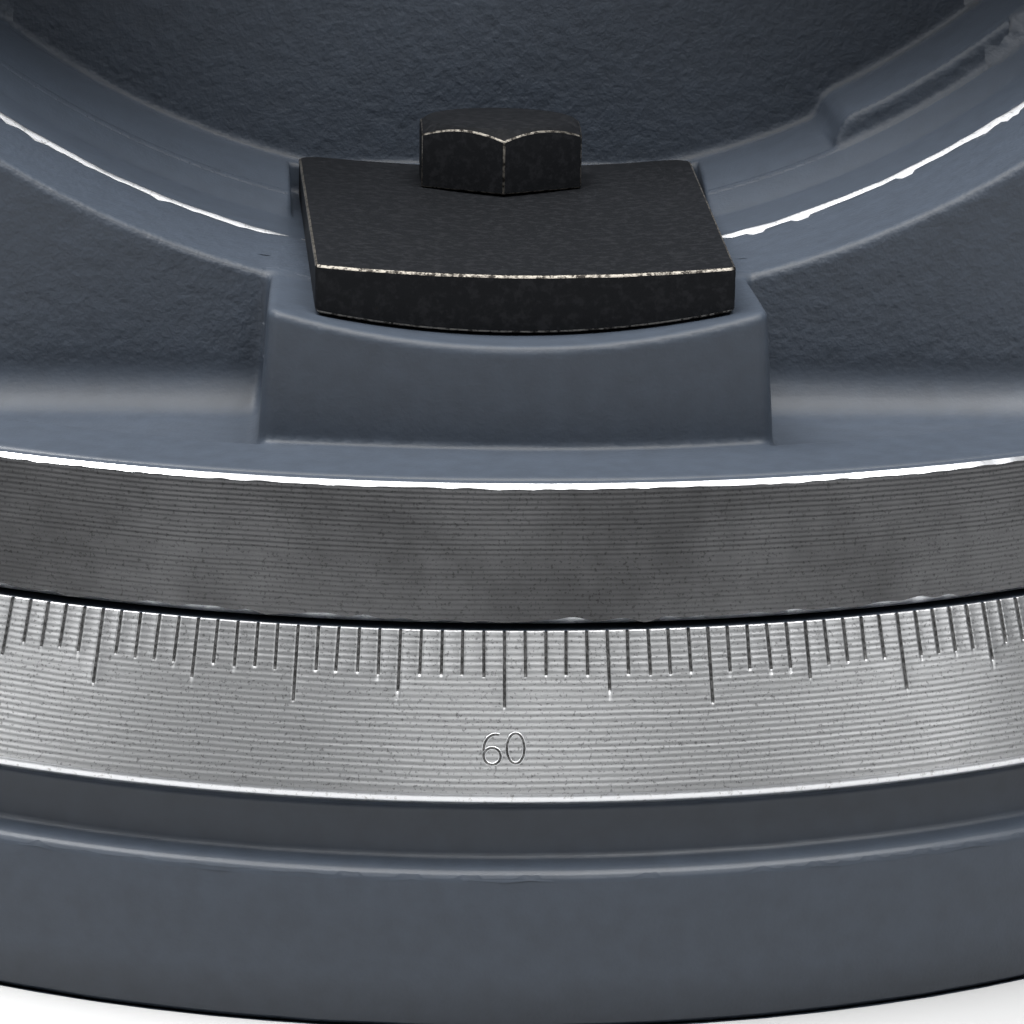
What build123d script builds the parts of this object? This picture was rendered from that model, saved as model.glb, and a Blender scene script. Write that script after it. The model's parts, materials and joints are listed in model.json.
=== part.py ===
from build123d import *
import os
from math import cos, radians, sin, sqrt

os.makedirs("parts", exist_ok=True)

# ---------------------------------------------------------------- driving dimensions, mm
# The origin is on the mounting face, on the swivel axis. The cradle tilts about Y.

# swivel base
ring_r = 118.0  # both machined rings, where they meet
joint_z = 40.0  # top face of the base
flange_r = 124.6
flange_h = 16.8
wall_r = 121.5
lip_r = 124.4
lip_z = 24.3
lug_pcd = 290.0
lug_hole_r = 6.75
lug_end_r = 21.0
lug_angles = (90, 210, 330)
hub_r = 40.0
pin_r = 20.0

# circular T-slot of the base
slot_r = 100.0
neck_half = 7.0
tee_half = 12.0
tee_floor = 18.0
tee_roof = 28.0

# saddle
face_gap = 0.2
ring_gap = 0.6
band_top = 55.1
floor_z = 54.2
rim_z = 55.4
rim_in_r = 105.0
saddle_r = 115.0
saddle_x = 112.0
saddle_y = 82.1
saddle_corner = 45.0
horn_z = 96.0
pad_r = 105.0
pad_half_low = 27.1
pad_half_top = 26.0

# tilting cradle, radii measured from the tilt axis
tilt_z = 170.5
shoe_in = 104.4
shoe_out = 110.1
bed_clear = 0.3
shoe_half = 58.7
ledge_r = 100.8
wall_y = 24.0
table_z = 142.0
table_low = 130.0
table_x = 99.0
clamp_y = 39.5
arc_neck_half = 6.5
arc_tee_half = 10.0
arc_tee_in = 115.4
arc_tee_out = 121.4

# clamp blocks
seat_play = 0.8
block_half = 21.6
block_half_in = 24.3
block_out = 99.6
block_in = 27.0
block_top = 72.4
recess_half = 26.0

# fasteners
m12_r = 6.0
m12_clear = 6.6
m12_flats = 19.0
m12_head = 7.5
swivel_flats = 18.0
swivel_nut_h = 10.8

# vise on the cradle
bed_x = 75.0
bed_y = 150.0
bed_top = 182.0
channel_half = 42.0
lip_half = 30.0
lip_low = 172.0
channel_end = 66.0
bed_bolt_x = 87.0
bed_bolt_y = 42.0
channel_floor = 150.0
screw_z = 165.0
screw_r = 10.0
nose_r = 8.0
nut_flange_r = 27.0
nut_flange_t = 6.0
nut_sleeve_r = 17.0
nut_bolt_circle = 22.5
bracket_r = 28.0
bracket_t = 30.0
run_fit = 0.05
jaw_top = 226.0
plate_t = 12.0
fixed_face = 70.0
moving_face = 20.0
jaw_rear = -62.0
jaw_bolt_x = 50.0
jaw_bolt_y = 124.0
plate_screw_x = 50.0
plate_screw_z = 206.0
plate_screw_r = 4.0
keeper_x = 24.0
keeper_ys = (-52.0, -2.0)
keeper_t = 7.0
boss_low = 153.0
boss_half = 18.0
boss_front = -50.0
boss_back = -12.0
crank_y = -222.0
crank_arm = 95.0
crank_hub_r = 16.0
crank_hub_len = 24.0
crank_arm_t = 10.0
grip_len = 78.0
grip_pin_r = 5.0

tilt_axis = Axis((0, 0, tilt_z), (0, 1, 0))


def arc_z(radius, x):
    """Height at x of the lower half of a cylinder about the tilt axis."""
    return tilt_z - sqrt(radius**2 - x**2)


def write(piece, name):
    """Labels a finished piece and writes its STEP file."""
    piece.part.label = name
    export_step(piece.part, f"parts/{name}.step")


def ring_edges(piece, radius, height):
    """The circular edges of a piece at one radius and height about Z."""
    return [
        e for e in piece.edges().filter_by(GeomType.CIRCLE)
        if abs(e.radius - radius) < 0.05 and abs(e.center().Z - height) < 0.05
    ]


def tilt_cylinder(radius, y_low, y_high):
    """A private solid: a cylinder about the tilt axis between two stations along Y."""
    with BuildPart(mode=Mode.PRIVATE) as drum:
        with BuildSketch(Plane.XZ.offset(-y_low)):
            with Locations((0, tilt_z)):
                Circle(radius)
        extrude(amount=-(y_high - y_low))
    return drum.part


# ---------------------------------------------------------------- swivel base
with BuildPart() as swivel_base:
    with BuildSketch(Plane.XZ):
        with BuildLine():
            Polyline(
                (pin_r, 0), (flange_r, 0), (flange_r, flange_h), (wall_r, flange_h + 0.6),
                (wall_r, lip_z - 1.7), (lip_r, lip_z), (ring_r, joint_z), (pin_r, joint_z),
                close=True,
            )
        make_face()
    revolve(axis=Axis.Z)
    fillet(ring_edges(swivel_base, flange_r, flange_h), 1.2)
    fillet(ring_edges(swivel_base, lip_r, lip_z), 0.6)
    # lugs for the table bolts
    with BuildSketch():
        for angle in lug_angles:
            with Locations(Rot(Z=angle)):
                with Locations((lug_pcd / 2, 0)):
                    Circle(lug_end_r)
                with Locations((lug_pcd / 2 - 16, 0)):
                    Trapezoid(2 * lug_end_r + 22, 32, 72, rotation=-90)
        Circle(flange_r - 6, mode=Mode.SUBTRACT)
    extrude(amount=flange_h - 0.8)
    # underside hollow, foot ring relief and the stiffening ribs across the hollow
    with BuildSketch(Plane.XZ):
        with BuildLine():
            Polyline((hub_r, 0), (86, 0), (84, 28), (hub_r + 2, 28), close=True)
        make_face()
        with Locations((99, 2)):
            Rectangle(28, 4)
    revolve(axis=Axis.Z, mode=Mode.SUBTRACT)
    with BuildSketch():
        with PolarLocations(62, 8):
            Rectangle(48, 8)
    extrude(amount=28)
    # circular T-slot with one entry for the bolt heads
    with BuildSketch(Plane.XZ):
        with Locations((slot_r, (tee_floor + tee_roof) / 2)):
            Rectangle(2 * tee_half, tee_roof - tee_floor)
        with Locations((slot_r, (tee_roof + joint_z) / 2)):
            Rectangle(2 * neck_half, joint_z - tee_roof)
    revolve(axis=Axis.Z, mode=Mode.SUBTRACT)
    with BuildSketch():
        with PolarLocations(slot_r, 1, 45):
            Rectangle(26, 26)
    extrude(amount=tee_roof, mode=Mode.SUBTRACT)
    # table bolt holes
    with PolarLocations(lug_pcd / 2, 3, lug_angles[0]):
        Hole(lug_hole_r)
write(swivel_base, "swivel_base")

# pivot pin pressed in the hub
pin_low, pin_high = 4.0, 57.6
with BuildPart() as pivot_pin:
    with BuildSketch(Plane.XY.offset(pin_low)):
        Circle(pin_r)
        Circle(6, mode=Mode.SUBTRACT)
    extrude(amount=pin_high - pin_low)
    chamfer(ring_edges(pivot_pin, pin_r, pin_high), 1.0)
    chamfer(ring_edges(pivot_pin, pin_r, pin_low), 1.0)
write(pivot_pin, "pivot_pin")

# ---------------------------------------------------------------- saddle
horn_notch_x = 86.0
horn_notch_half = 18.0
horn_notch_z = 58.0
bush_r = 24.0
channel_r = shoe_out + bed_clear
bore_top = tilt_z - channel_r

with BuildPart() as saddle_turn:
    # machined band with its rim
    with BuildSketch(Plane.XZ):
        with BuildLine():
            Polyline(
                (0, joint_z + face_gap), (112, joint_z + face_gap), (112.4, joint_z + ring_gap),
                (ring_r - 0.5, joint_z + ring_gap), (ring_r, joint_z + ring_gap + 0.5),
                (ring_r, band_top - 0.6), (ring_r - 0.6, band_top), (ring_r - 1.4, rim_z),
                (rim_in_r + 0.6, rim_z), (rim_in_r - 0.4, floor_z), (0, floor_z), close=True,
            )
        make_face()
    revolve(axis=Axis.Z)

with BuildPart() as saddle_body:
    with BuildSketch(Plane.XY.offset(joint_z + 5)):
        RectangleRounded(2 * saddle_x, 2 * saddle_y, saddle_corner)
        Circle(saddle_r, mode=Mode.INTERSECT)
    extrude(amount=horn_z - joint_z - 5)
    add(tilt_cylinder(shoe_in, -130, 130), mode=Mode.SUBTRACT)

with BuildPart() as saddle_pads:
    with BuildSketch(Plane.XY.offset(floor_z - 2)):
        Rectangle(2 * pad_half_low, 2 * pad_r + 10)
    with BuildSketch(Plane.XY.offset(floor_z + 18)):
        Rectangle(2 * pad_half_top - 1, 2 * pad_r + 10)
    loft()
    with BuildSketch(Plane.XY.offset(floor_z - 2)):
        Circle(pad_r)
    extrude(amount=20, mode=Mode.INTERSECT)
    add(tilt_cylinder(shoe_in, -130, 130), mode=Mode.SUBTRACT)
    corner_edges = [
        e for e in saddle_pads.edges()
        if abs(e.center().Y) > 95 and abs(abs(e.center().X) - pad_half_top) < 2.6
        and e.bounding_box().size.Z > 8
    ]
    fillet(corner_edges, 1.8)

with BuildPart() as saddle:
    add(saddle_turn.part)
    add(saddle_body.part)
    add(saddle_pads.part)
    add(tilt_cylinder(channel_r, -shoe_half - bed_clear, shoe_half + bed_clear), mode=Mode.SUBTRACT)
    # arc T-slots under the two clamps
    for side in (-clamp_y, clamp_y):
        add(tilt_cylinder(arc_tee_in, side - arc_neck_half, side + arc_neck_half), mode=Mode.SUBTRACT)
    for side in (-clamp_y, clamp_y):
        ring = tilt_cylinder(arc_tee_out, side - arc_tee_half, side + arc_tee_half)
        ring -= tilt_cylinder(arc_tee_in, side - arc_tee_half, side + arc_tee_half)
        add(ring, mode=Mode.SUBTRACT)
    # notches over the swivel lock bolts
    with BuildSketch(Plane.XY.offset(horn_notch_z)):
        with Locations((horn_notch_x + 30, 0), (-horn_notch_x - 30, 0)):
            Rectangle(60, 2 * horn_notch_half)
    extrude(amount=60, mode=Mode.SUBTRACT)
    with Locations((slot_r, 0, horn_notch_z), (-slot_r, 0, horn_notch_z)):
        Hole(m12_clear)
    with Locations((0, 0, bore_top)):
        Hole(bush_r)
write(saddle, "saddle")

with BuildPart() as pivot_bush:
    with BuildSketch(Plane.XY.offset(joint_z + face_gap + 0.4)):
        Circle(bush_r)
        Circle(pin_r + run_fit, mode=Mode.SUBTRACT)
    extrude(amount=18)
write(pivot_bush, "pivot_bush")

# swivel lock T-bolts, washers and nuts
tee_head = 22.0
washer_r = 12.0
washer_h = 2.5
stud_top = 77.0
with BuildPart() as swivel_lock_bolts:
    for x in (-slot_r, slot_r):
        with BuildSketch(Plane.XY.offset(tee_roof - 8.4)):
            with Locations((x, 0)):
                Rectangle(tee_head, tee_head)
        extrude(amount=8)
        with BuildSketch(Plane.XY.offset(tee_roof - 1)):
            with Locations((x, 0)):
                Circle(m12_r)
        extrude(amount=stud_top - tee_roof + 1)
write(swivel_lock_bolts, "swivel_lock_bolts")

with BuildPart() as swivel_lock_washers:
    with BuildSketch(Plane.XY.offset(horn_notch_z)):
        with Locations((-slot_r, 0), (slot_r, 0)):
            Circle(washer_r)
            Circle(m12_clear, mode=Mode.SUBTRACT)
    extrude(amount=washer_h)
write(swivel_lock_washers, "swivel_lock_washers")


def hex_prism(flats, turn, x, y, z, height, bore, bevel):
    """A private solid: a hexagon nut or head with a turned bevel on its top, vertex at turn degrees."""
    corner_r = flats / 2 / cos(radians(30))
    with BuildPart(mode=Mode.PRIVATE) as nut:
        with BuildSketch(Plane.XY.offset(z)):
            with Locations((x, y)):
                RegularPolygon(corner_r, 6, rotation=turn)
                if bore:
                    Circle(bore, mode=Mode.SUBTRACT)
        extrude(amount=height)
        with BuildSketch(Plane((x, y, z), x_dir=(1, 0, 0), z_dir=(0, -1, 0))):
            with BuildLine():
                Polyline(
                    (0, 0), (corner_r + 1, 0), (corner_r + 1, height - bevel),
                    (corner_r, height - bevel), (flats / 2 - 0.6, height), (0, height), close=True,
                )
            make_face()
        revolve(axis=Axis((x, y, z), (0, 0, 1)), mode=Mode.INTERSECT)
    return nut.part


nut_z = horn_notch_z + washer_h
for x, side in ((-slot_r, "left"), (slot_r, "right")):
    with BuildPart() as swivel_lock_nut:
        add(hex_prism(swivel_flats, 0, x, 0, nut_z, swivel_nut_h, m12_r + run_fit, 1.2))
    write(swivel_lock_nut, f"swivel_lock_nut_{side}")

# ---------------------------------------------------------------- tilting cradle
cove_start = 46.0
edge_chamfer = 0.8
boss_face = 39.5
boss_r = 99.3


def shoe_z(radius):
    """Height in the middle plane of a radius about the tilt axis."""
    return tilt_z - radius


with BuildPart() as cradle_turn:
    with BuildSketch(Plane.YZ):
        with BuildLine():
            for s in (-1, 1):
                Line((0, tilt_z), (s * wall_y, tilt_z))
                Line((s * wall_y, tilt_z), (s * wall_y, shoe_z(ledge_r) + 0.3))
                Line((s * wall_y, shoe_z(ledge_r) + 0.3), (s * (wall_y + 1.4), shoe_z(ledge_r)))
                TangentArc(
                    (s * cove_start, shoe_z(shoe_in)), (s * (wall_y + 1.4), shoe_z(ledge_r)),
                    tangent=(-s, 0),
                )
                Line((s * cove_start, shoe_z(shoe_in)), (s * (shoe_half - edge_chamfer), shoe_z(shoe_in)))
                Line(
                    (s * (shoe_half - edge_chamfer), shoe_z(shoe_in)),
                    (s * shoe_half, shoe_z(shoe_in) - edge_chamfer),
                )
                Line((s * shoe_half, shoe_z(shoe_in) - edge_chamfer), (s * shoe_half, shoe_z(shoe_out)))
                Line((s * shoe_half, shoe_z(shoe_out)), (0, shoe_z(shoe_out)))
        make_face()
    revolve(axis=tilt_axis)

# raised boss on the right of the front wall, bevelled at its lower end
with BuildPart() as front_boss:
    with BuildSketch(Plane.YZ):
        with BuildLine():
            Polyline(
                (-boss_face, shoe_z(shoe_in)), (-boss_face, shoe_z(boss_r)),
                (-wall_y + 1, shoe_z(boss_r - 0.8)), (-wall_y + 1, shoe_z(shoe_in)), close=True,
            )
        make_face()
    revolve(axis=Axis((0, 0, tilt_z), (0, -1, 0)), revolution_arc=46)

with BuildPart() as web_hollow:
    with BuildSketch():
        Rectangle(300, 24)
    extrude(amount=table_low)
    add(tilt_cylinder(92, -12, 12), mode=Mode.INTERSECT)

with BuildPart() as tilt_cradle:
    add(cradle_turn.part)
    add(front_boss.part.rotate(tilt_axis, -24))
    with BuildSketch(Plane.XY.offset(table_low)):
        Rectangle(2 * table_x, 2 * shoe_half)
    extrude(amount=table_z - table_low)
    with BuildSketch(Plane.XY.offset(table_z)):
        Rectangle(400, 400)
    extrude(amount=200, mode=Mode.SUBTRACT)
    # seats of the clamp blocks, and the flat bar left behind each block
    for s in (-1, 1):
        with BuildPart(mode=Mode.PRIVATE) as seat:
            with BuildSketch(Plane.XY.offset(50)):
                with Locations((0, s * (wall_y + 2.4 + 20))):
                    Rectangle(2 * recess_half, 40)
            extrude(amount=40)
            add(tilt_cylinder(shoe_in, -130, 130), mode=Mode.INTERSECT)
        add(seat.part, mode=Mode.SUBTRACT)
        with BuildSketch(Plane.XY.offset(shoe_z(shoe_in) - 1)):
            with Locations((0, s * (wall_y + 1))):
                Rectangle(2 * recess_half, 2.8)
        extrude(amount=block_top - 0.2 - shoe_z(shoe_in) + 1)
        with Locations((seat_play, s * clamp_y, shoe_z(shoe_in) + 2)):
            Hole(m12_clear)
    # hollow between the two web walls, open through the table
    add(web_hollow.part, mode=Mode.SUBTRACT)
    with BuildSketch(Plane.XY.offset(table_low - 1)):
        Rectangle(120, 24)
    extrude(amount=table_z - table_low + 1, mode=Mode.SUBTRACT)
    # tapped holes for the bed screws
    with Locations((0, 0, table_z)):
        with GridLocations(2 * bed_bolt_x, 2 * bed_bolt_y, 2, 2):
            Hole(m12_r, depth=table_z - table_low)
write(tilt_cradle, "tilt_cradle")

# T-nuts in the arc slots, turned to stand evenly about the bolts
nut_arc = 10
with BuildPart() as nut_arcs:
    for s in (-1, 1):
        with BuildSketch(Plane.YZ):
            with Locations((s * clamp_y, shoe_z((arc_tee_in + arc_tee_out) / 2))):
                Rectangle(2 * arc_tee_half - 0.8, arc_tee_out - arc_tee_in - 0.8)
            with Locations((s * clamp_y, shoe_z(arc_tee_in - 1.2))):
                Rectangle(2 * arc_neck_half - 0.8, 5)
        revolve(axis=Axis((0, 0, tilt_z), (0, -1, 0)), revolution_arc=nut_arc)
with BuildPart() as clamp_t_nuts:
    add(nut_arcs.part.rotate(tilt_axis, nut_arc / 2))
    for s in (-1, 1):
        with BuildSketch(Plane.XY.offset(shoe_z(arc_tee_out) - 5)):
            with Locations((seat_play, s * clamp_y)):
                Circle(m12_r + run_fit)
        extrude(amount=20, mode=Mode.SUBTRACT)
write(clamp_t_nuts, "clamp_t_nuts")

# clamp blocks with a dished top and spreading sides, and their bolts
block_low_r = shoe_in - bed_clear
dish_r = 225.0
for s, place in ((-1, "front"), (1, "rear")):
    with BuildPart() as clamp_block:
        with BuildSketch(Plane.XZ.offset(-s * block_in)):
            with BuildLine():
                x0 = seat_play - block_half_in
                x1 = seat_play + block_half_in
                edge_z = block_top + dish_r - sqrt(dish_r**2 - block_half_in**2)
                ThreePointArc((x0, edge_z), (seat_play, block_top), (x1, edge_z))
                Line((x1, edge_z), (x1, arc_z(block_low_r, x1)))
                ThreePointArc((x1, arc_z(block_low_r, x1)), (0, arc_z(block_low_r, 0)), (x0, arc_z(block_low_r, x0)))
                Line((x0, arc_z(block_low_r, x0)), (x0, edge_z))
            make_face()
        extrude(amount=-s * (block_out - block_in))
        # the sides spread towards the cradle
        with BuildSketch() as block_plan:
            with BuildLine():
                Polyline(
                    (seat_play - block_half, s * block_out), (seat_play + block_half, s * block_out),
                    (seat_play + block_half_in, s * block_in), (seat_play - block_half_in, s * block_in),
                    close=True,
                )
            make_face()
            fillet(block_plan.vertices().filter_by(lambda v: abs(v.Y) > block_out - 1), 0.8)
            fillet(block_plan.vertices().filter_by(lambda v: abs(v.Y) < block_in + 0.1), 3.5)
        extrude(amount=2 * block_top, mode=Mode.INTERSECT)
        with Locations((seat_play, s * clamp_y, block_top + 1)):
            Hole(m12_clear)
    write(clamp_block, f"clamp_block_{place}")
    with BuildPart() as clamp_bolt:
        add(hex_prism(m12_flats, 30, seat_play, s * clamp_y, block_top + 0.3, m12_head, 0, 1.3))
        with BuildSketch(Plane.XY.offset(shoe_z(arc_tee_out) + 0.4)):
            with Locations((seat_play, s * clamp_y)):
                Circle(m12_r)
        extrude(amount=block_top + 1 - shoe_z(arc_tee_out) - 0.4)
    write(clamp_bolt, f"clamp_bolt_{place}")

# ---------------------------------------------------------------- vise bed
flange_x = 98.0
flange_top = 156.0
bracket_low = -bed_y
bracket_high = bracket_low + bracket_t
with BuildPart() as vise_bed:
    with BuildSketch(Plane.XY.offset(table_z)):
        Rectangle(2 * bed_x, 2 * bed_y)
    extrude(amount=bed_top - table_z)
    fillet(vise_bed.edges().filter_by(Axis.Z), 6)
    with BuildSketch(Plane.XY.offset(table_z)):
        RectangleRounded(2 * flange_x, 2 * (shoe_half - 0.7), 8)
    extrude(amount=flange_top - table_z)
    # channel with way lips above it
    with BuildSketch(Plane.XZ.offset(-bracket_high)):
        with Locations((0, (channel_floor + lip_low) / 2)):
            Rectangle(2 * channel_half, lip_low - channel_floor)
        with Locations((0, (lip_low + bed_top) / 2)):
            Rectangle(2 * lip_half, bed_top - lip_low + 2)
    extrude(amount=bracket_high - channel_end, mode=Mode.SUBTRACT)
    # bracket that carries the screw nut
    with BuildSketch(Plane.XZ.offset(bed_y)):
        with Locations((0, screw_z)):
            Circle(bracket_r)
        with Locations((0, table_z + 10)):
            Rectangle(2 * bracket_r, 20)
        with Locations((0, table_z - 50)):
            Rectangle(200, 100, mode=Mode.SUBTRACT)
    extrude(amount=bracket_low - bracket_high)
    with BuildSketch(Plane.XZ.offset(bed_y)):
        with Locations((0, screw_z)):
            Circle(nut_sleeve_r)
            with PolarLocations(nut_bolt_circle, 4, 45):
                Circle(2.5)
    extrude(amount=bracket_low - bracket_high, mode=Mode.SUBTRACT)
    # screws to the cradle and to the fixed jaw
    with Locations((0, 0, flange_top)):
        with GridLocations(2 * bed_bolt_x, 2 * bed_bolt_y, 2, 2):
            Hole(m12_clear)
    with Locations((0, jaw_bolt_y, bed_top)):
        with GridLocations(2 * jaw_bolt_x, 1, 2, 1):
            Hole(m12_r, depth=26)
write(vise_bed, "vise_bed")


def cap_screw(x, y, z, shank_r, length, up=True):
    """A private solid: a hexagon socket cap screw, underside of its head at z, shank along -Z or +Z."""
    head_r, head_h, key = 1.5 * shank_r, 2 * shank_r, shank_r
    way = 1 if up else -1
    with BuildPart(mode=Mode.PRIVATE) as screw:
        with BuildSketch(Plane((x, y, z), x_dir=(1, 0, 0), z_dir=(0, 0, way))):
            Circle(head_r)
        extrude(amount=head_h)
        chamfer(screw.edges().filter_by(GeomType.CIRCLE).sort_by(Axis.Z)[-1 if up else 0], 0.08 * head_r)
        with BuildSketch(Plane((x, y, z + way * head_h), x_dir=(1, 0, 0), z_dir=(0, 0, way))):
            RegularPolygon(key, 6)
        extrude(amount=-0.55 * head_h, mode=Mode.SUBTRACT)
        with BuildSketch(Plane((x, y, z), x_dir=(1, 0, 0), z_dir=(0, 0, -way))):
            Circle(shank_r)
        extrude(amount=length)
    return screw.part


with BuildPart() as bed_screws:
    for x in (-bed_bolt_x, bed_bolt_x):
        for y in (-bed_bolt_y, bed_bolt_y):
            add(cap_screw(x, y, flange_top, m12_r, 24))
write(bed_screws, "bed_screws")

# bronze screw nut, flange outside the bracket, with four cap screws
with BuildPart() as screw_nut:
    with BuildSketch(Plane.XZ.offset(bed_y)):
        with Locations((0, screw_z)):
            Circle(nut_flange_r)
    extrude(amount=nut_flange_t)
    with BuildSketch(Plane.XZ.offset(bed_y)):
        with Locations((0, screw_z)):
            Circle(nut_sleeve_r)
    extrude(amount=bracket_low - bracket_high)
    with BuildSketch(Plane.XZ.offset(bed_y + nut_flange_t)):
        with Locations((0, screw_z)):
            Circle(screw_r + run_fit)
    extrude(amount=-(bracket_t + nut_flange_t), mode=Mode.SUBTRACT)
    with BuildSketch(Plane.XZ.offset(bed_y + nut_flange_t)):
        with Locations((0, screw_z)):
            with PolarLocations(nut_bolt_circle, 4, 45):
                Circle(2.5)
    extrude(amount=-nut_flange_t, mode=Mode.SUBTRACT)
write(screw_nut, "screw_nut")

with BuildPart() as screw_nut_screws:
    for angle in (45, 135, 225, 315):
        x = nut_bolt_circle * cos(radians(angle))
        z = screw_z + nut_bolt_circle * sin(radians(angle))
        add(cap_screw(0, 0, 0, 2.45, 22).rotate(Axis.X, 90).moved(Location((x, -bed_y - nut_flange_t, z))))
write(screw_nut_screws, "screw_nut_screws")


# ---------------------------------------------------------------- jaws
def jaw_section(front, back, shoulder_z, shoulder_y):
    """A private solid: a jaw casting with a sloped back, along X."""
    with BuildPart(mode=Mode.PRIVATE) as jaw:
        with BuildSketch(Plane.YZ.offset(-bed_x)):
            with BuildLine():
                Polyline(
                    (front, bed_top), (front, jaw_top), (shoulder_y, jaw_top),
                    (back, shoulder_z), (back, bed_top), close=True,
                )
            make_face()
        extrude(amount=2 * bed_x)
    return jaw.part


counter_z = plate_screw_z
with BuildPart() as fixed_jaw:
    add(jaw_section(fixed_face + plate_t, 146, bed_top + 18, 108))
    fillet(fixed_jaw.edges().filter_by(Axis.X).group_by(Axis.Z)[-1].sort_by(Axis.Y)[-1], 3)
    with Locations((0, jaw_bolt_y, jaw_top)):
        with GridLocations(2 * jaw_bolt_x, 1, 2, 1):
            Hole(m12_clear, depth=60)
    with BuildSketch(Plane.XY.offset(counter_z)):
        with Locations((-jaw_bolt_x, jaw_bolt_y), (jaw_bolt_x, jaw_bolt_y)):
            Circle(10.5)
    extrude(amount=60, mode=Mode.SUBTRACT)
    # tapped holes for the plate screws
    with BuildSketch(Plane.XZ.offset(-fixed_face - plate_t)):
        with Locations((-plate_screw_x, plate_screw_z), (plate_screw_x, plate_screw_z)):
            Circle(plate_screw_r)
    extrude(amount=-18, mode=Mode.SUBTRACT)
write(fixed_jaw, "fixed_jaw")

with BuildPart() as fixed_jaw_screws:
    for x in (-jaw_bolt_x, jaw_bolt_x):
        add(cap_screw(x, jaw_bolt_y, counter_z, m12_r, 44))
write(fixed_jaw_screws, "fixed_jaw_screws")

# hardened jaw plates with counterbored screws
for name, face, way in (("fixed", fixed_face, 1), ("moving", moving_face, -1)):
    with BuildPart() as jaw_plate:
        with BuildSketch(Plane.XZ.offset(-min(face, face + way * plate_t))):
            with Locations((0, (bed_top + 0.5 + jaw_top) / 2)):
                Rectangle(2 * bed_x - 2, jaw_top - bed_top - 0.5)
        extrude(amount=-plate_t)
        chamfer(jaw_plate.edges().filter_by(Axis.X).group_by(Axis.Z)[-1], 0.6)
        for x in (-plate_screw_x, plate_screw_x):
            with BuildSketch(Plane.XZ.offset(-face)):
                with Locations((x, plate_screw_z)):
                    Circle(plate_screw_r + 0.3)
            extrude(amount=-way * plate_t, mode=Mode.SUBTRACT)
            with BuildSketch(Plane.XZ.offset(-face)):
                with Locations((x, plate_screw_z)):
                    Circle(1.7 * plate_screw_r)
            extrude(amount=-way * 8.4, mode=Mode.SUBTRACT)
    write(jaw_plate, f"{name}_jaw_plate")
    with BuildPart() as plate_screws:
        for x in (-plate_screw_x, plate_screw_x):
            screw = cap_screw(0, 0, 0, plate_screw_r, 20).rotate(Axis.X, way * 90)
            add(screw.moved(Location((x, face + way * 8.4, plate_screw_z))))
    write(plate_screws, f"{name}_jaw_plate_screws")

# moving jaw: casting on the ways, tongue between the lips, boss that holds the screw nose
tongue_half = lip_half - bed_clear
with BuildPart() as moving_jaw:
    add(jaw_section(moving_face - plate_t, jaw_rear, bed_top + 14, -20))
    fillet(moving_jaw.edges().filter_by(Axis.X).group_by(Axis.Z)[-1].sort_by(Axis.Y)[0], 3)
    with BuildSketch(Plane.XY.offset(bed_top - 1)):
        Rectangle(400, 400)
    extrude(amount=1 + bed_clear, mode=Mode.SUBTRACT)
    with BuildSketch(Plane.XY.offset(lip_low - bed_clear)):
        with Locations((0, (jaw_rear + moving_face - plate_t) / 2)):
            Rectangle(2 * tongue_half, moving_face - plate_t - jaw_rear)
    extrude(amount=bed_top - lip_low + 2 * bed_clear + 1)
    with BuildSketch(Plane.XY.offset(boss_low)):
        with Locations((0, (boss_front + boss_back) / 2)):
            Rectangle(2 * boss_half, boss_back - boss_front)
    extrude(amount=lip_low - boss_low)
    # room for the collar and the screw shoulder in the tongue, then the bore of the nose
    with BuildSketch(Plane.XZ.offset(-boss_back)):
        with Locations((0, screw_z)):
            Circle(14)
    extrude(amount=-(moving_face - plate_t - boss_back), mode=Mode.SUBTRACT)
    with BuildSketch(Plane.XZ.offset(-jaw_rear)):
        with Locations((0, screw_z)):
            Circle(screw_r + 1)
    extrude(amount=-(boss_front - jaw_rear), mode=Mode.SUBTRACT)
    with BuildSketch(Plane.XZ.offset(-boss_front)):
        with Locations((0, screw_z)):
            Circle(nose_r + run_fit)
    extrude(amount=-(boss_back - boss_front), mode=Mode.SUBTRACT)
    # tapped holes for the plate screws and for the keeper screws
    with BuildSketch(Plane.XZ.offset(-moving_face + plate_t)):
        with Locations((-plate_screw_x, plate_screw_z), (plate_screw_x, plate_screw_z)):
            Circle(plate_screw_r)
    extrude(amount=18, mode=Mode.SUBTRACT)
    for x in (-keeper_x, keeper_x):
        for y in keeper_ys:
            with BuildSketch(Plane.XY.offset(lip_low - bed_clear)):
                with Locations((x, y)):
                    Circle(3)
            extrude(amount=14, mode=Mode.SUBTRACT)
write(moving_jaw, "moving_jaw")

# keepers under the way lips
with BuildPart() as jaw_keepers:
    for s in (-1, 1):
        with BuildSketch(Plane.XY.offset(lip_low - bed_clear - keeper_t)):
            with Locations((s * (boss_half + channel_half) / 2, (jaw_rear + 8) / 2)):
                Rectangle(channel_half - boss_half - 2 * bed_clear, 8 - jaw_rear)
            with Locations(*[(s * keeper_x, y) for y in keeper_ys]):
                Circle(3.2, mode=Mode.SUBTRACT)
        extrude(amount=keeper_t)
write(jaw_keepers, "jaw_keepers")

with BuildPart() as keeper_screws:
    for x in (-keeper_x, keeper_x):
        for y in keeper_ys:
            add(cap_screw(x, y, lip_low - bed_clear - keeper_t, 2.95, 18, up=False))
write(keeper_screws, "keeper_screws")

# leadscrew with its nose, retaining collar and crank
with BuildPart() as leadscrew:
    with BuildSketch(Plane.XZ.offset(-boss_front + bed_clear)):
        with Locations((0, screw_z)):
            Circle(screw_r)
    extrude(amount=boss_front - bed_clear - crank_y + crank_hub_len / 2)
    with BuildSketch(Plane.XZ.offset(-boss_front + bed_clear)):
        with Locations((0, screw_z)):
            Circle(nose_r)
    extrude(amount=-(boss_back + 11 - boss_front + bed_clear))
write(leadscrew, "leadscrew")

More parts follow.
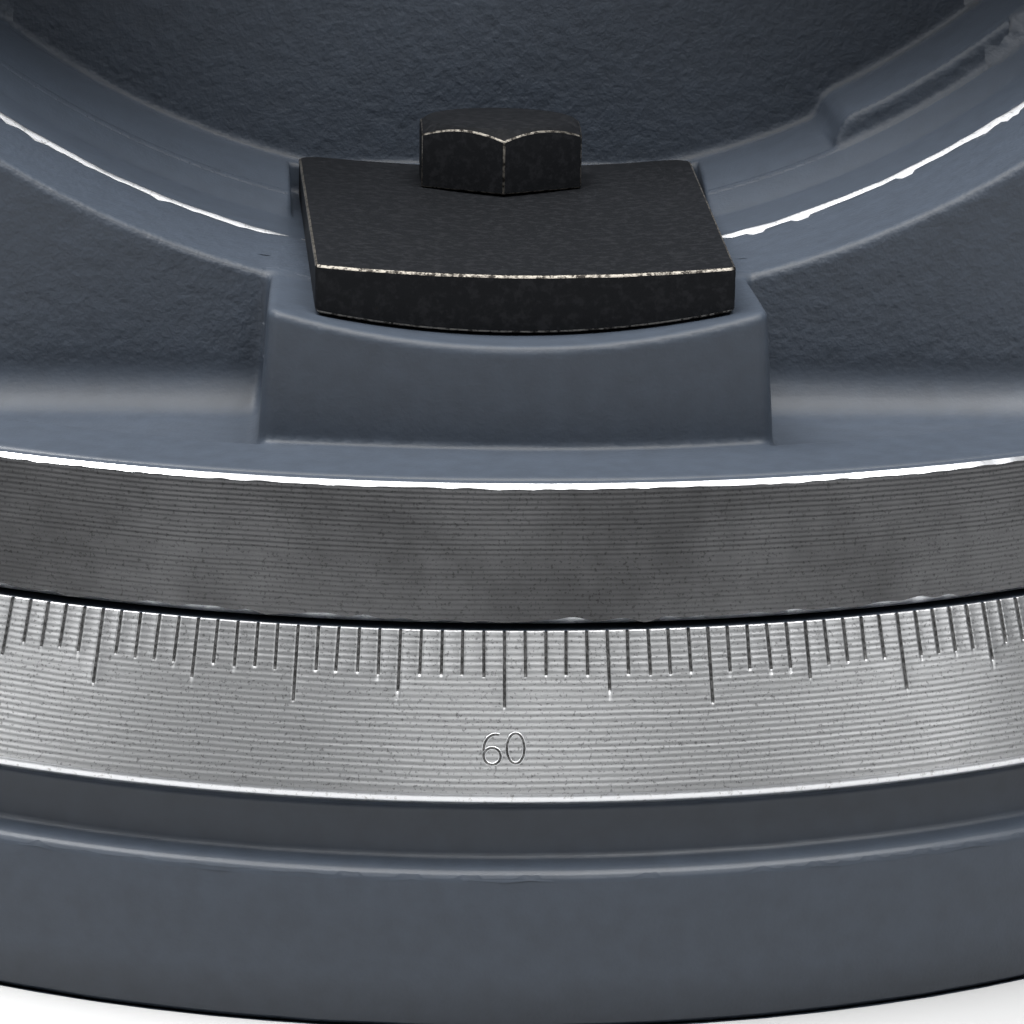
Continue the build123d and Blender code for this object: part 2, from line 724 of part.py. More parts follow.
with BuildPart() as retaining_collar:
    with BuildSketch(Plane.XZ.offset(-boss_back - bed_clear)):
        with Locations((0, screw_z)):
            Circle(13)
            Circle(nose_r, mode=Mode.SUBTRACT)
    extrude(amount=-9)
    with BuildSketch(Plane.XY.offset(screw_z - 14)):
        with Locations((0, boss_back + 4.8)):
            Circle(2)
    extrude(amount=28, mode=Mode.SUBTRACT)
write(retaining_collar, "retaining_collar")

with BuildPart() as crank:
    with BuildSketch(Plane.XZ.offset(-crank_y - crank_hub_len / 2)):
        with Locations((0, screw_z)):
            Circle(crank_hub_r)
    extrude(amount=crank_hub_len)
    with BuildSketch(Plane.XZ.offset(-crank_y - crank_arm_t / 2)):
        with Locations((0, screw_z)):
            Circle(13)
        with Locations((0, screw_z + crank_arm)):
            Circle(11)
        with BuildLine():
            Polyline(
                (-13, screw_z), (13, screw_z), (10.5, screw_z + crank_arm),
                (-10.5, screw_z + crank_arm), close=True,
            )
        make_face()
    extrude(amount=crank_arm_t)
    with BuildSketch(Plane.XZ.offset(-crank_y - crank_hub_len)):
        with Locations((0, screw_z)):
            Circle(screw_r)
        with Locations((0, screw_z + crank_arm)):
            Circle(grip_pin_r)
    extrude(amount=2 * crank_hub_len, mode=Mode.SUBTRACT)
    with BuildSketch(Plane.XY.offset(screw_z)):
        with Locations((0, crank_y + 8.5)):
            Circle(3)
    extrude(amount=40, mode=Mode.SUBTRACT)
write(crank, "crank")

with BuildPart() as crank_set_screw:
    with BuildSketch(Plane.XY.offset(screw_z + screw_r)):
        with Locations((0, crank_y + 8.5)):
            Circle(2.95)
    extrude(amount=6.5)
    with BuildSketch(Plane.XY.offset(screw_z + screw_r + 6.5)):
        with Locations((0, crank_y + 8.5)):
            RegularPolygon(1.7, 6)
    extrude(amount=-3.5, mode=Mode.SUBTRACT)
write(crank_set_screw, "crank_set_screw")

# grip turning on its pin
grip_y = crank_y - 5.4
with BuildPart() as grip_pin:
    with BuildSketch(Plane.XZ.offset(-crank_y - crank_arm_t / 2)):
        with Locations((0, screw_z + crank_arm)):
            Circle(grip_pin_r)
    extrude(amount=grip_len + 12)
    with BuildSketch(Plane.XZ.offset(-grip_y + grip_len + 0.5)):
        with Locations((0, screw_z + crank_arm)):
            Circle(7.5)
    extrude(amount=2.4)
write(grip_pin, "grip_pin")

with BuildPart() as crank_grip:
    with BuildSketch(Plane.YZ):
        with BuildLine():
            y0 = grip_y
            y1 = grip_y - grip_len
            zc = screw_z + crank_arm
            bore = grip_pin_r + run_fit
            Line((y0, zc + bore), (y0, zc + 9.5))
            Spline((y0, zc + 9.5), (y0 - 14, zc + 11.5), (y0 - 48, zc + 14.5), (y1 + 8, zc + 13.5), (y1, zc + 9))
            Line((y1, zc + 9), (y1, zc + bore))
            Line((y1, zc + bore), (y0, zc + bore))
        make_face()
    revolve(axis=Axis((0, 0, zc), (0, 1, 0)))
write(crank_grip, "crank_grip")
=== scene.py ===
# %% [markdown]
# # A tilting and swivelling machine vise
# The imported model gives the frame: where every casting, screw and joint is. This lesson builds the
# looks around it. Castings become rounded skins, turned rings get their engraved degrees, and the
# blackened clamps get worn edges. Lengths below are in millimetres until a mesh is made, which
# then multiplies them by `mm`.

# %% load the frame
import bpy
import bmesh
import json
import math
import numpy as np
from mathutils import Matrix, Vector

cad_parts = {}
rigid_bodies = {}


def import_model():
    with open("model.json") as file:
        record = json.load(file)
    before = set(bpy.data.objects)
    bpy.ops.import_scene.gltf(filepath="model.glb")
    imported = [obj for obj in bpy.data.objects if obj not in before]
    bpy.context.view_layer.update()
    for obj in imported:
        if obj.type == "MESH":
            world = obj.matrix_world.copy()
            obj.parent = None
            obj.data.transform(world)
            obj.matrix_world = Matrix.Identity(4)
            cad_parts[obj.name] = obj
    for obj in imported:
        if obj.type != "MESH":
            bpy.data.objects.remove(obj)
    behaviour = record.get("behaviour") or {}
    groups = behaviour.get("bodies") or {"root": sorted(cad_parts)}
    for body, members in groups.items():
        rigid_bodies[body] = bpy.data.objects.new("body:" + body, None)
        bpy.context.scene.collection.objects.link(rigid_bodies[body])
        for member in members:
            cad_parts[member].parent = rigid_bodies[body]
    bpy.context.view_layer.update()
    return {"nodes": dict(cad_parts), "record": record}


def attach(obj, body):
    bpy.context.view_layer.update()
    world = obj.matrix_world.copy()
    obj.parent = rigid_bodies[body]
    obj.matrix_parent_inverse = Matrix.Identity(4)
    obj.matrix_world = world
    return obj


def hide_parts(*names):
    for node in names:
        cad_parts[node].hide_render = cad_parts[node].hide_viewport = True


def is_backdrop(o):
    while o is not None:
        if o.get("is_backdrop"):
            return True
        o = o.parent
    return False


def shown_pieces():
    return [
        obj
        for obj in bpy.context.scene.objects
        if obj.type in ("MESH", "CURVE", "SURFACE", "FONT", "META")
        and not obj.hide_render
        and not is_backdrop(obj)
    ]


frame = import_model()
mm = 0.001

# %% [markdown]
# ## Camera and light
# A long lens close to the front of the base shows the degree ring, the saddle and the front clamp.
# A wider lens from nearer would frame the same parts, but it would bend the ring more than the eye
# sees it. The place, the turn and the lens are set as numbers, so that every run frames it alike.

# %% camera
ring_turn = math.radians(-0.9)  # the ring's 60 mark stands this far left of the front clamp


def make_camera(place, yaw, tilt, roll, lens):
    """A camera at place, turned by yaw about Z, tilted up from straight down, and rolled."""
    data = bpy.data.cameras.new("camera")
    data.lens = lens
    data.sensor_width = 36
    data.clip_start = 0.02
    camera = bpy.data.objects.new("camera", data)
    bpy.context.scene.collection.objects.link(camera)
    turn = Matrix.Rotation(yaw, 4, "Z") @ Matrix.Rotation(tilt, 4, "X") @ Matrix.Rotation(roll, 4, "Z")
    camera.matrix_world = Matrix.Translation(place) @ turn
    bpy.context.scene.camera = camera


camera_place = Matrix.Rotation(ring_turn, 3, "Z") @ Vector((-0.0115, -0.4252, 0.1342))
camera_yaw = math.radians(-2.25) + ring_turn
camera_tilt = math.radians(75.08)
camera_roll = math.radians(0.97)
long_lens = 113.5
make_camera(camera_place, camera_yaw, camera_tilt, camera_roll, long_lens)
print("camera at", [round(c, 3) for c in camera_place], "lens", long_lens)

# %% [markdown]
# The light is a studio's: one large softbox overhead, a weaker one just in front of it, and upright
# cards in front that the turned steel can reflect as soft bands. A room's own light would do the
# same less evenly, so area lights are used, and the world adds only a faint cool fill.


# %% lights
def soft_card(name, place, aim, width, height, power):
    """A rectangular area light at place, facing the point aim."""
    data = bpy.data.lights.new(name, "AREA")
    data.shape = "RECTANGLE"
    data.size, data.size_y = width, height
    data.energy = power
    light = bpy.data.objects.new(name, data)
    bpy.context.scene.collection.objects.link(light)
    light.location = place
    light.visible_camera = False
    light.rotation_euler = (Vector(aim) - Vector(place)).to_track_quat("-Z", "Y").to_euler()
    return light


front = Vector((0, -0.08, 0.06))
card_z, card_height = 0.62, 0.45
overhead = soft_card("overhead_softbox", (-0.06, -0.21, 1.0), front, 1.55, 0.6, 38.0)
lower = soft_card("lower_softbox", (-0.24, -0.30, 0.96), front, 1.2, 0.6, 10.0)
for name, x, y, width, power in (
    ("front_card_left", -0.98, -0.62, 0.3, 1.5), ("front_card_middle", 0.04, -1.1, 0.2, 0.6),
    ("front_card_right", 0.85, -0.75, 0.3, 1.1),
):
    soft_card(name, (x, y, card_z), front, width, card_height, power)

world = bpy.data.worlds.new("studio")
bpy.context.scene.world = world
world.use_nodes = True
world.node_tree.nodes["Background"].inputs["Color"].default_value = (0.8, 0.84, 0.9, 1)
world.node_tree.nodes["Background"].inputs["Strength"].default_value = 0.14
bpy.context.scene.view_settings.view_transform = "Standard"
print("lights", len(bpy.data.lights))

# %% [markdown]
# ## Finishes
# Enamel over cast iron, turned steel, black oxide and bronze cover almost all of the vise. Pictures
# of such surfaces could be wrapped on, but procedural nodes stay sharp close up and need no layout.
# Effects that more than one finish shares are node groups: the turning lines that a lathe leaves,
# and the orange-peel skin of paint over sand casting. First come small helpers that add a node and
# set its sockets in one call.

# %% node helpers
def new_group(name, inputs, outputs):
    """A shader node group with named sockets: inputs as (name, type, default), outputs as (name, type)."""
    tree = bpy.data.node_groups.new(name, "ShaderNodeTree")
    for socket, kind, default in inputs:
        made = tree.interface.new_socket(socket, in_out="INPUT", socket_type=kind)
        made.default_value = default
    for socket, kind in outputs:
        tree.interface.new_socket(socket, in_out="OUTPUT", socket_type=kind)
    return tree, tree.nodes.new("NodeGroupInput"), tree.nodes.new("NodeGroupOutput")


def node(tree, kind, values=None, **settings):
    """Adds a node, sets its properties and its unlinked sockets."""
    made = tree.nodes.new(kind)
    for key, value in settings.items():
        setattr(made, key, value)
    for key, value in (values or {}).items():
        made.inputs[key].default_value = value
    return made


def math_node(tree, operation, a, b=None):
    """A Math node whose inputs are sockets or numbers; gives its output socket."""
    made = node(tree, "ShaderNodeMath", operation=operation)
    for slot_number, value in enumerate((a, b)):
        if value is None:
            continue
        if isinstance(value, (int, float)):
            made.inputs[slot_number].default_value = value
        else:
            tree.links.new(value, made.inputs[slot_number])
    return made.outputs[0]


def ramp(tree, factor, stops):
    """A colour ramp over a factor socket: stops are (position, grey or colour)."""
    made = tree.nodes.new("ShaderNodeValToRGB")
    elements = made.color_ramp.elements
    while len(elements) < len(stops):
        elements.new(1.0)
    for element, (position, tone) in zip(elements, stops):
        element.position = position
        element.color = (*tone, 1) if isinstance(tone, tuple) else (tone, tone, tone, 1)
    tree.links.new(factor, made.inputs["Fac"])
    return made.outputs["Color"]


# %% [markdown]
# A lathe tool leaves a fine groove once per turn of the work. Thousands of modelled grooves would be
# far too many faces, so a sine wave along one coordinate bends the normal. Slow noise shifts its
# phase, and the depth changes from line to line, because no feed is perfectly even.


# %% turning lines
def make_turning_lines():
    """Height = sin(2 pi along / pitch), its phase shifted by slow noise, plus faint chatter noise."""
    tree, given, out = new_group(
        "turning_lines",
        [("Along", "NodeSocketFloat", 0.0), ("Pitch", "NodeSocketFloat", 0.0005),
         ("Strength", "NodeSocketFloat", 0.4)],
        [("Normal", "NodeSocketVector")],
    )
    place = node(tree, "ShaderNodeTexCoord").outputs["Object"]
    slow = node(tree, "ShaderNodeTexNoise", {"Scale": 60.0, "Detail": 2.0})
    tree.links.new(place, slow.inputs["Vector"])
    line = math_node(tree, "DIVIDE", given.outputs["Along"], given.outputs["Pitch"])
    drift = math_node(tree, "MULTIPLY", slow.outputs["Fac"], 0.9)
    phase = math_node(tree, "MULTIPLY", math_node(tree, "ADD", line, drift), 2 * math.pi)
    wave = math_node(tree, "SINE", phase)
    # depth changes from line to line, the same all the way round
    per_line = node(tree, "ShaderNodeTexNoise", {"Scale": 1.0, "Detail": 1.0}, noise_dimensions="1D")
    tree.links.new(math_node(tree, "MULTIPLY", line, 0.37), per_line.inputs["W"])
    chatter = node(tree, "ShaderNodeTexNoise", {"Scale": 2600.0, "Detail": 2.0, "Roughness": 0.7})
    tree.links.new(place, chatter.inputs["Vector"])
    depth = math_node(tree, "MULTIPLY", wave, per_line.outputs["Fac"])
    height = math_node(tree, "ADD", depth, math_node(tree, "MULTIPLY", chatter.outputs["Fac"], 0.9))
    bump = node(tree, "ShaderNodeBump", {"Distance": 0.00006})
    tree.links.new(given.outputs["Strength"], bump.inputs["Strength"])
    tree.links.new(height, bump.inputs["Height"])
    tree.links.new(bump.outputs["Normal"], out.inputs["Normal"])
    return tree


turning_lines = make_turning_lines()
print("group", turning_lines.name, len(turning_lines.nodes), "nodes")


# %% [markdown]
# Paint on a sand casting has two scales: orange peel from the spray gun everywhere, and lumps where
# the iron was left as cast. One bump over three noises gives both, and a painted mask on the mesh
# says where the lumps are.


# %% cast paint skin
def make_cast_skin():
    """Normal from three noises of falling size; Lump scales the two coarse ones by the rough mask."""
    tree, given, out = new_group(
        "cast_skin",
        [("Rough", "NodeSocketFloat", 0.0), ("Peel", "NodeSocketFloat", 0.25)],
        [("Normal", "NodeSocketVector"), ("Mottle", "NodeSocketFloat")],
    )
    place = node(tree, "ShaderNodeTexCoord").outputs["Object"]
    heights = []
    for scale, detail in ((420.0, 3.0), (1100.0, 2.0), (2600.0, 2.0)):
        noise = node(tree, "ShaderNodeTexNoise", {"Scale": scale, "Detail": detail, "Roughness": 0.55})
        tree.links.new(place, noise.inputs["Vector"])
        heights.append(noise.outputs["Fac"])
    lumps = math_node(tree, "ADD", math_node(tree, "MULTIPLY", heights[0], 1.6), heights[1])
    lumps = math_node(tree, "MULTIPLY", lumps, given.outputs["Rough"])
    peel = math_node(tree, "MULTIPLY", math_node(tree, "ADD", heights[1], heights[2]), given.outputs["Peel"])
    bump = node(tree, "ShaderNodeBump", {"Distance": 0.00011, "Strength": 1.0})
    tree.links.new(math_node(tree, "ADD", lumps, peel), bump.inputs["Height"])
    tree.links.new(bump.outputs["Normal"], out.inputs["Normal"])
    tree.links.new(heights[0], out.inputs["Mottle"])
    return tree


cast_skin = make_cast_skin()
print("group", cast_skin.name, len(cast_skin.nodes), "nodes")

# %% [markdown]
# Each finish is a Principled shader whose constants are set on its own sockets, with a group or a
# noise feeding its colour, roughness or normal. One function per kind of finish keeps the enamels
# alike and the steels alike, and only their tones differ.


# %% materials
def new_material(name, **constants):
    """A material with its Principled shader's constant sockets set; gives (material, tree, shader)."""
    material = bpy.data.materials.new(name)
    material.use_nodes = True
    tree = material.node_tree
    shader = tree.nodes["Principled BSDF"]
    for key, value in constants.items():
        shader.inputs[key.replace("_", " ")].default_value = value
    return material, tree, shader


def place_group(tree, group, **values):
    """Puts a node group in a material with its own values."""
    made = tree.nodes.new("ShaderNodeGroup")
    made.node_tree = group
    for key, value in values.items():
        made.inputs[key].default_value = value
    return made


def enamel(name, colour, peel, use_mask):
    """Blue-grey enamel: slightly mottled colour, satin, over smooth or rough casting."""
    material, tree, shader = new_material(name, Roughness=0.5, Coat_Weight=0.08, Coat_Roughness=0.25)
    skin = place_group(tree, cast_skin, Peel=peel)
    if use_mask:
        mask = node(tree, "ShaderNodeAttribute", attribute_name="rough_cast")
        tree.links.new(mask.outputs["Fac"], skin.inputs["Rough"])
    dark = tuple(c * 0.9 for c in colour)
    light = tuple(c * 1.1 for c in colour)
    colour_over = ramp(tree, skin.outputs["Mottle"], [(0.3, dark), (0.7, light)])
    tree.links.new(colour_over, shader.inputs["Base Color"])
    tree.links.new(skin.outputs["Normal"], shader.inputs["Normal"])
    return material


def coordinate(tree, axis):
    """One Object coordinate as a socket."""
    split = node(tree, "ShaderNodeSeparateXYZ")
    tree.links.new(node(tree, "ShaderNodeTexCoord").outputs["Object"], split.inputs[0])
    return split.outputs[axis]


def turned_steel(name, tone, roughness, axis, pitch, strength, shade=0.86, pit_tone=0.6):
    """Lathe-turned steel: metal whose fine lines run round the axis, with faint staining."""
    material, tree, shader = new_material(name, Metallic=1.0)
    lines = place_group(tree, turning_lines, Pitch=pitch, Strength=strength)
    tree.links.new(coordinate(tree, axis), lines.inputs["Along"])
    tree.links.new(lines.outputs["Normal"], shader.inputs["Normal"])
    stain = node(tree, "ShaderNodeTexNoise", {"Scale": 35.0, "Detail": 5.0, "Roughness": 0.7})
    tree.links.new(node(tree, "ShaderNodeTexCoord").outputs["Object"], stain.inputs["Vector"])
    low, high = tuple(c * shade for c in tone), tone
    colour = ramp(tree, stain.outputs["Fac"], [(0.38, low), (0.6, high)])
    pits = node(tree, "ShaderNodeTexNoise", {"Scale": 3400.0, "Detail": 2.0, "Roughness": 0.6})
    tree.links.new(node(tree, "ShaderNodeTexCoord").outputs["Object"], pits.inputs["Vector"])
    spots = ramp(tree, pits.outputs["Fac"], [(0.33, pit_tone), (0.42, 1.0)])
    mix = node(tree, "ShaderNodeMix", {"Factor": 1.0}, data_type="RGBA", blend_type="MULTIPLY")
    tree.links.new(colour, mix.inputs[6])
    tree.links.new(spots, mix.inputs[7])
    tree.links.new(mix.outputs[2], shader.inputs["Base Color"])
    rough = ramp(tree, stain.outputs["Fac"], [(0.3, roughness * 1.2), (0.7, roughness)])
    tree.links.new(rough, shader.inputs["Roughness"])
    return material


def speckled(name, dark, light, share, scale, **constants):
    """A finish of two tones mixed by fine noise: light shows in the given share of the surface."""
    material, tree, shader = new_material(name, **constants)
    noise = node(tree, "ShaderNodeTexNoise", {"Scale": scale, "Detail": 4.0, "Roughness": 0.75})
    tree.links.new(node(tree, "ShaderNodeTexCoord").outputs["Object"], noise.inputs["Vector"])
    edge = 1.0 - share
    tone = ramp(tree, noise.outputs["Fac"], [(max(edge - 0.06, 0.0), dark), (min(edge + 0.06, 1.0), light)])
    tree.links.new(tone, shader.inputs["Base Color"])
    bump = node(tree, "ShaderNodeBump", {"Distance": 0.00005, "Strength": 0.5})
    tree.links.new(noise.outputs["Fac"], bump.inputs["Height"])
    tree.links.new(bump.outputs["Normal"], shader.inputs["Normal"])
    return material


blue_grey = (0.0245, 0.0325, 0.0455)
enamel_cast = enamel("enamel_on_casting", blue_grey, 0.22, True)
enamel_smooth = enamel("enamel_smooth", blue_grey, 0.16, False)
# the saddle band is turned iron like the degree ring; its far darker tone is painted shade for the dark
# surroundings that the band reflects
band_steel_painted_dark = turned_steel("turned_band_steel", (0.135, 0.136, 0.14), 0.34, "Z", 0.00052, 0.35, 0.6, 0.55)
ring_steel = turned_steel("turned_ring_steel", (0.5, 0.505, 0.51), 0.33, "Z", 0.00056, 0.26, 0.8, 0.5)
ground_steel = turned_steel("ground_steel", (0.6, 0.6, 0.62), 0.28, "Z", 0.0009, 0.12)
shaft_steel = turned_steel("turned_shaft_steel", (0.6, 0.6, 0.61), 0.25, "Y", 0.0006, 0.15)
black_oxide = speckled("black_oxide", (0.0055, 0.006, 0.007), (0.010, 0.0105, 0.012), 0.45, 900.0,
                       Roughness=0.5, Specular_IOR_Level=0.07)
worn_edge = speckled("worn_black_edge", (0.05, 0.045, 0.04), (0.5, 0.46, 0.4), 0.52, 1500.0,
                     Metallic=1.0, Roughness=0.35)
bare_steel = speckled("bare_filed_steel", (0.5, 0.5, 0.5), (0.85, 0.86, 0.88), 0.62, 1400.0,
                      Metallic=1.0, Roughness=0.3)
# the dark bottom of the engraved grooves and numeral strokes is painted shade in the grooves
engraved_painted_shade = speckled("engraved_bottom", (0.03, 0.03, 0.03), (0.10, 0.10, 0.10), 0.5, 2500.0,
                         Metallic=0.8, Roughness=0.5)
bronze = turned_steel("machined_bronze", (0.6, 0.4, 0.18), 0.3, "Y", 0.0006, 0.15)
# a brown speckled finish for one short stretch of the shoe's bright chamfer beside the front clamp
rust_spot = speckled("rust_spot", (0.10, 0.055, 0.03), (0.35, 0.28, 0.2), 0.5, 1200.0,
                     Metallic=0.4, Roughness=0.5)
grip_plastic = speckled("moulded_grip", (0.012, 0.012, 0.013), (0.018, 0.018, 0.019), 0.5, 700.0,
                        Roughness=0.35)
print("materials", len(bpy.data.materials))

# %% [markdown]
# ## Mesh tools
# Three ways of making a surface are used. A turned piece carries a profile round an axis on a
# grid. A casting is the zero surface of a distance field, in which fillets are exact rounded
# unions, meshed by averaging where the surface cuts each small cell's edges. A plain machined
# piece is a copy of its CAD node, welded and bevelled.

# %% mesh helpers
def mesh_piece(name, points, quads, body, materials, replaces=(), kinds=None, sharp=None):
    """Makes an object from points in millimetres and quads, and says what it rides on and replaces."""
    mesh = bpy.data.meshes.new(name)
    mesh.vertices.add(len(points))
    mesh.vertices.foreach_set("co", (np.asarray(points, float) * mm).astype(np.float32).ravel())
    quads = np.asarray(quads, np.int32)
    mesh.loops.add(quads.size)
    mesh.loops.foreach_set("vertex_index", quads.ravel())
    mesh.polygons.add(len(quads))
    mesh.polygons.foreach_set("loop_start", np.arange(len(quads), dtype=np.int32) * 4)
    mesh.polygons.foreach_set("use_smooth", np.ones(len(quads), bool))
    if kinds is not None:
        mesh.polygons.foreach_set("material_index", np.asarray(kinds, np.int32))
    mesh.update(calc_edges=True)
    mesh.validate()
    for material in materials:
        mesh.materials.append(material)
    if sharp:
        mesh.set_sharp_from_angle(angle=math.radians(sharp))
    made = bpy.data.objects.new(name, mesh)
    bpy.context.scene.collection.objects.link(made)
    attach(made, body)
    if replaces:
        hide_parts(*replaces)
    print(name, len(quads), "quads")
    return made


def grid_quads(rows, columns, wrap):
    """Quads of a grid of rows by columns, whose last column joins the first if wrap."""
    last = columns if wrap else columns - 1
    r, c = np.meshgrid(np.arange(rows - 1), np.arange(last), indexing="ij")
    n = (c + 1) % columns
    here, above = r * columns, (r + 1) * columns
    return np.stack([here + c, here + n, above + n, above + c], -1).reshape(-1, 4)


def turn_points(radius, height, angle):
    """x = radius cos(angle), y = radius sin(angle), z = height, over whole arrays."""
    radius, height, angle = np.broadcast_arrays(radius, height, angle)
    return np.stack([radius * np.cos(angle), radius * np.sin(angle), height], -1).reshape(-1, 3)


def smooth_noise(points, size, seed, waves=24):
    """A sum of sine waves, each about size long, with seeded directions and phases; about -1 to 1."""
    rng = np.random.default_rng(seed)
    way = rng.normal(size=(waves, 3))
    way /= np.linalg.norm(way, axis=1)[:, None]
    way *= 2 * np.pi / (size * rng.uniform(0.7, 1.5, (waves, 1)))
    phase = rng.uniform(0, 2 * np.pi, waves)
    total = np.zeros(points.shape[:-1])
    for w, p in zip(way, phase):
        total += np.sin(points @ w + p)
    return total / math.sqrt(waves)


# %% [markdown]
# A casting has a fillet at every inner corner. Bevelled meshes of such shapes break where several
# fillets meet, so a casting is written as a distance field: negative inside, positive outside. Two
# fields join or cut with a rounded corner by one formula, and the skin is found on a grid at the end.


# %% distance-field tools
def round_union(a, b, r):
    """Joins two solids with a concave fillet of radius r."""
    return np.maximum(r, np.minimum(a, b)) - np.hypot(np.maximum(r - a, 0), np.maximum(r - b, 0))


def round_common(a, b, r):
    """Keeps what is in both solids, with the shared edge rounded to radius r."""
    return np.minimum(-r, np.maximum(a, b)) + np.hypot(np.maximum(r + a, 0), np.maximum(r + b, 0))


def box_field(x, y, half_x, half_y, corner):
    """Distance to a rectangle with rounded corners in a plane."""
    dx, dy = np.abs(x) - half_x + corner, np.abs(y) - half_y + corner
    return np.hypot(np.maximum(dx, 0), np.maximum(dy, 0)) + np.minimum(np.maximum(dx, dy), 0) - corner


CORNERS = np.array([(i, j, k) for i in (0, 1) for j in (0, 1) for k in (0, 1)])
EDGES = [(a, b) for a in range(8) for b in range(a + 1, 8) if np.abs(CORNERS[a] - CORNERS[b]).sum() == 1]


# %% skin of a field
def field_skin(field, low, high, step):
    """Points and quads of a field's zero surface: one point in each cell that it crosses, at the mean of
    the crossings of the cell's edges, then moved onto the surface along the field's slope."""
    low = np.asarray(low, float)
    count = np.ceil((np.asarray(high) - low) / step).astype(int) + 1
    axes = [low[i] + step * np.arange(count[i]) for i in range(3)]
    value = field(*np.meshgrid(*axes, indexing="ij", sparse=True)).astype(np.float32)
    inside = value < 0
    cells = count - 1
    total = np.zeros(cells, np.int8)
    for c in CORNERS:
        total += inside[c[0]:c[0] + cells[0], c[1]:c[1] + cells[1], c[2]:c[2] + cells[2]]
    where = np.argwhere((total > 0) & (total < 8))
    number = np.full(cells, -1, np.int32)
    number[tuple(where.T)] = np.arange(len(where))
    corner_value = np.stack([value[tuple((where + c).T)] for c in CORNERS], -1)
    spot, hits = np.zeros((len(where), 3)), np.zeros(len(where))
    for a, b in EDGES:
        va, vb = corner_value[:, a], corner_value[:, b]
        cross = (va < 0) != (vb < 0)
        t = np.where(cross, va / np.where(cross, va - vb, 1), 0)
        spot += np.where(cross[:, None], CORNERS[a] + t[:, None] * (CORNERS[b] - CORNERS[a]), 0)
        hits += cross
    points = low + step * (where + spot / hits[:, None])
    quads = []
    for axis in range(3):
        u, w = (axis + 1) % 3, (axis + 2) % 3
        first = [slice(None)] * 3
        second = [slice(None)] * 3
        first[axis], second[axis] = slice(None, -1), slice(1, None)
        here, there = inside[tuple(first)], inside[tuple(second)]
        crossing = np.argwhere(here != there)
        at_u, at_w = crossing[:, u], crossing[:, w]
        crossing = crossing[(at_u > 0) & (at_w > 0) & (at_u < cells[u]) & (at_w < cells[w])]
        leaving = here[tuple(crossing.T)]
        step_u, step_w = np.eye(3, dtype=int)[u], np.eye(3, dtype=int)[w]
        around = [a * step_u + b * step_w for a, b in ((0, 0), (1, 0), (1, 1), (0, 1))]
        ring = np.stack([number[tuple((crossing - back).T)] for back in around], -1)
        ring[~leaving] = ring[~leaving][:, ::-1]
        quads.append(ring)
    quads = np.concatenate(quads)
    tiny = 0.02
    for _ in range(2):
        x, y, z = points.T
        here = field(x, y, z)
        slope = np.stack([field(x + tiny, y, z) - here, field(x, y + tiny, z) - here,
                          field(x, y, z + tiny) - here], -1) / tiny
        size = np.maximum((slope ** 2).sum(-1), 0.3)
        move = -here[:, None] * slope / size[:, None]
        points = points + np.clip(move, -0.5 * step, 0.5 * step)
    return points, quads


def trim(points, quads, keep_point):
    """Keeps the quads with any corner kept, and drops the unused points."""
    chosen = quads[keep_point[quads].any(-1)]
    used = np.zeros(len(points), bool)
    used[chosen.ravel()] = True
    renumber = np.cumsum(used) - 1
    return points[used], renumber[chosen]


# %% [markdown]
# A turned piece is a profile carried round an axis. The profile is written as its corners and a
# radius for each, and the arcs are worked out, so a dimension can change without new points.


# %% rounded profiles and turned pieces
def rounded(corners, radii, steps=5):
    """A polyline whose inner corners are replaced by arcs that touch both sides, radius per corner."""
    corners = np.asarray(corners, float)
    line = [corners[0]]
    for before, here, after, r in zip(corners[:-2], corners[1:-1], corners[2:], radii):
        if r <= 0:
            line.append(here)
            continue
        a, b = before - here, after - here
        a, b = a / np.linalg.norm(a), b / np.linalg.norm(b)
        half = math.acos(np.clip(a @ b, -1, 1)) / 2
        centre = here + (a + b) / np.linalg.norm(a + b) * r / math.sin(half)
        start, end = here + a * r / math.tan(half) - centre, here + b * r / math.tan(half) - centre
        sweep = math.acos(np.clip(start @ end / r ** 2, -1, 1))
        t = np.linspace(0, 1, steps)[:, None]
        arc = (np.sin((1 - t) * sweep) * start + np.sin(t * sweep) * end) / math.sin(sweep)
        line.extend(centre + arc)
    line.append(corners[-1])
    return np.array(line)


def turned_piece(name, profile, columns, body, materials, wave, seed):
    """A profile (radius, height) carried round the Z axis, its radius waved by up to about wave."""
    angle = np.linspace(0, 2 * np.pi, columns, endpoint=False)
    points = turn_points(profile[:, :1], profile[:, 1:], angle)
    push = wave * smooth_noise(points, 9.0, seed)
    flat = np.hypot(points[:, 0], points[:, 1])
    points[:, :2] *= (1 + push / flat)[:, None]
    quads = grid_quads(len(profile), columns, True)
    return mesh_piece(name, points, quads, body, materials)


# %% [markdown]
# ## The swivel base
# The outside of the base was turned in one setting: a painted flange and wall, then a bare cone
# that carries the degrees. The underside, the lugs and the T-slot are plain castings and keep their
# CAD shape. The wall is a profile with rounded corners, waved a few hundredths of a millimetre so
# that its paint doesn't shine like glass.

# %% base dimensions
ring_r, ring_z = 118.0, 40.0
lip_r, lip_z = 124.4, 24.3
slant = math.hypot(lip_r - ring_r, ring_z - lip_z)
down = np.array([(lip_r - ring_r) / slant, (lip_z - ring_z) / slant])  # along the cone, downward
out = np.array([-down[1], down[0]])  # away from the cone


def cone_points(along, side, lift):
    """Points on the degree cone: along in mm down the slant, side as an angle, lift in mm off it."""
    radius = ring_r + along * down[0] + lift * out[0]
    height = ring_z + along * down[1] + lift * out[1]
    return turn_points(radius, height, side)


# %% painted flange and wall
wall_corners = [(123.9, 0), (124.6, 0.7), (124.6, 16.8), (121.5, 17.4), (121.5, 22.6), (123.5, 23.75)]
wall_profile = rounded(wall_corners, [0.0, 1.3, 0.9, 0.8])
# a few more rows let the paint wave between the corners
fine = np.linspace(0, len(wall_profile) - 1, 3 * len(wall_profile) - 2)
index = np.arange(len(wall_profile))
wall_profile = np.stack([np.interp(fine, index, wall_profile[:, i]) for i in (0, 1)], -1)
turned_piece("base_wall", wall_profile, 900, "swivel_base", [enamel_smooth], wave=0.035, seed=3)


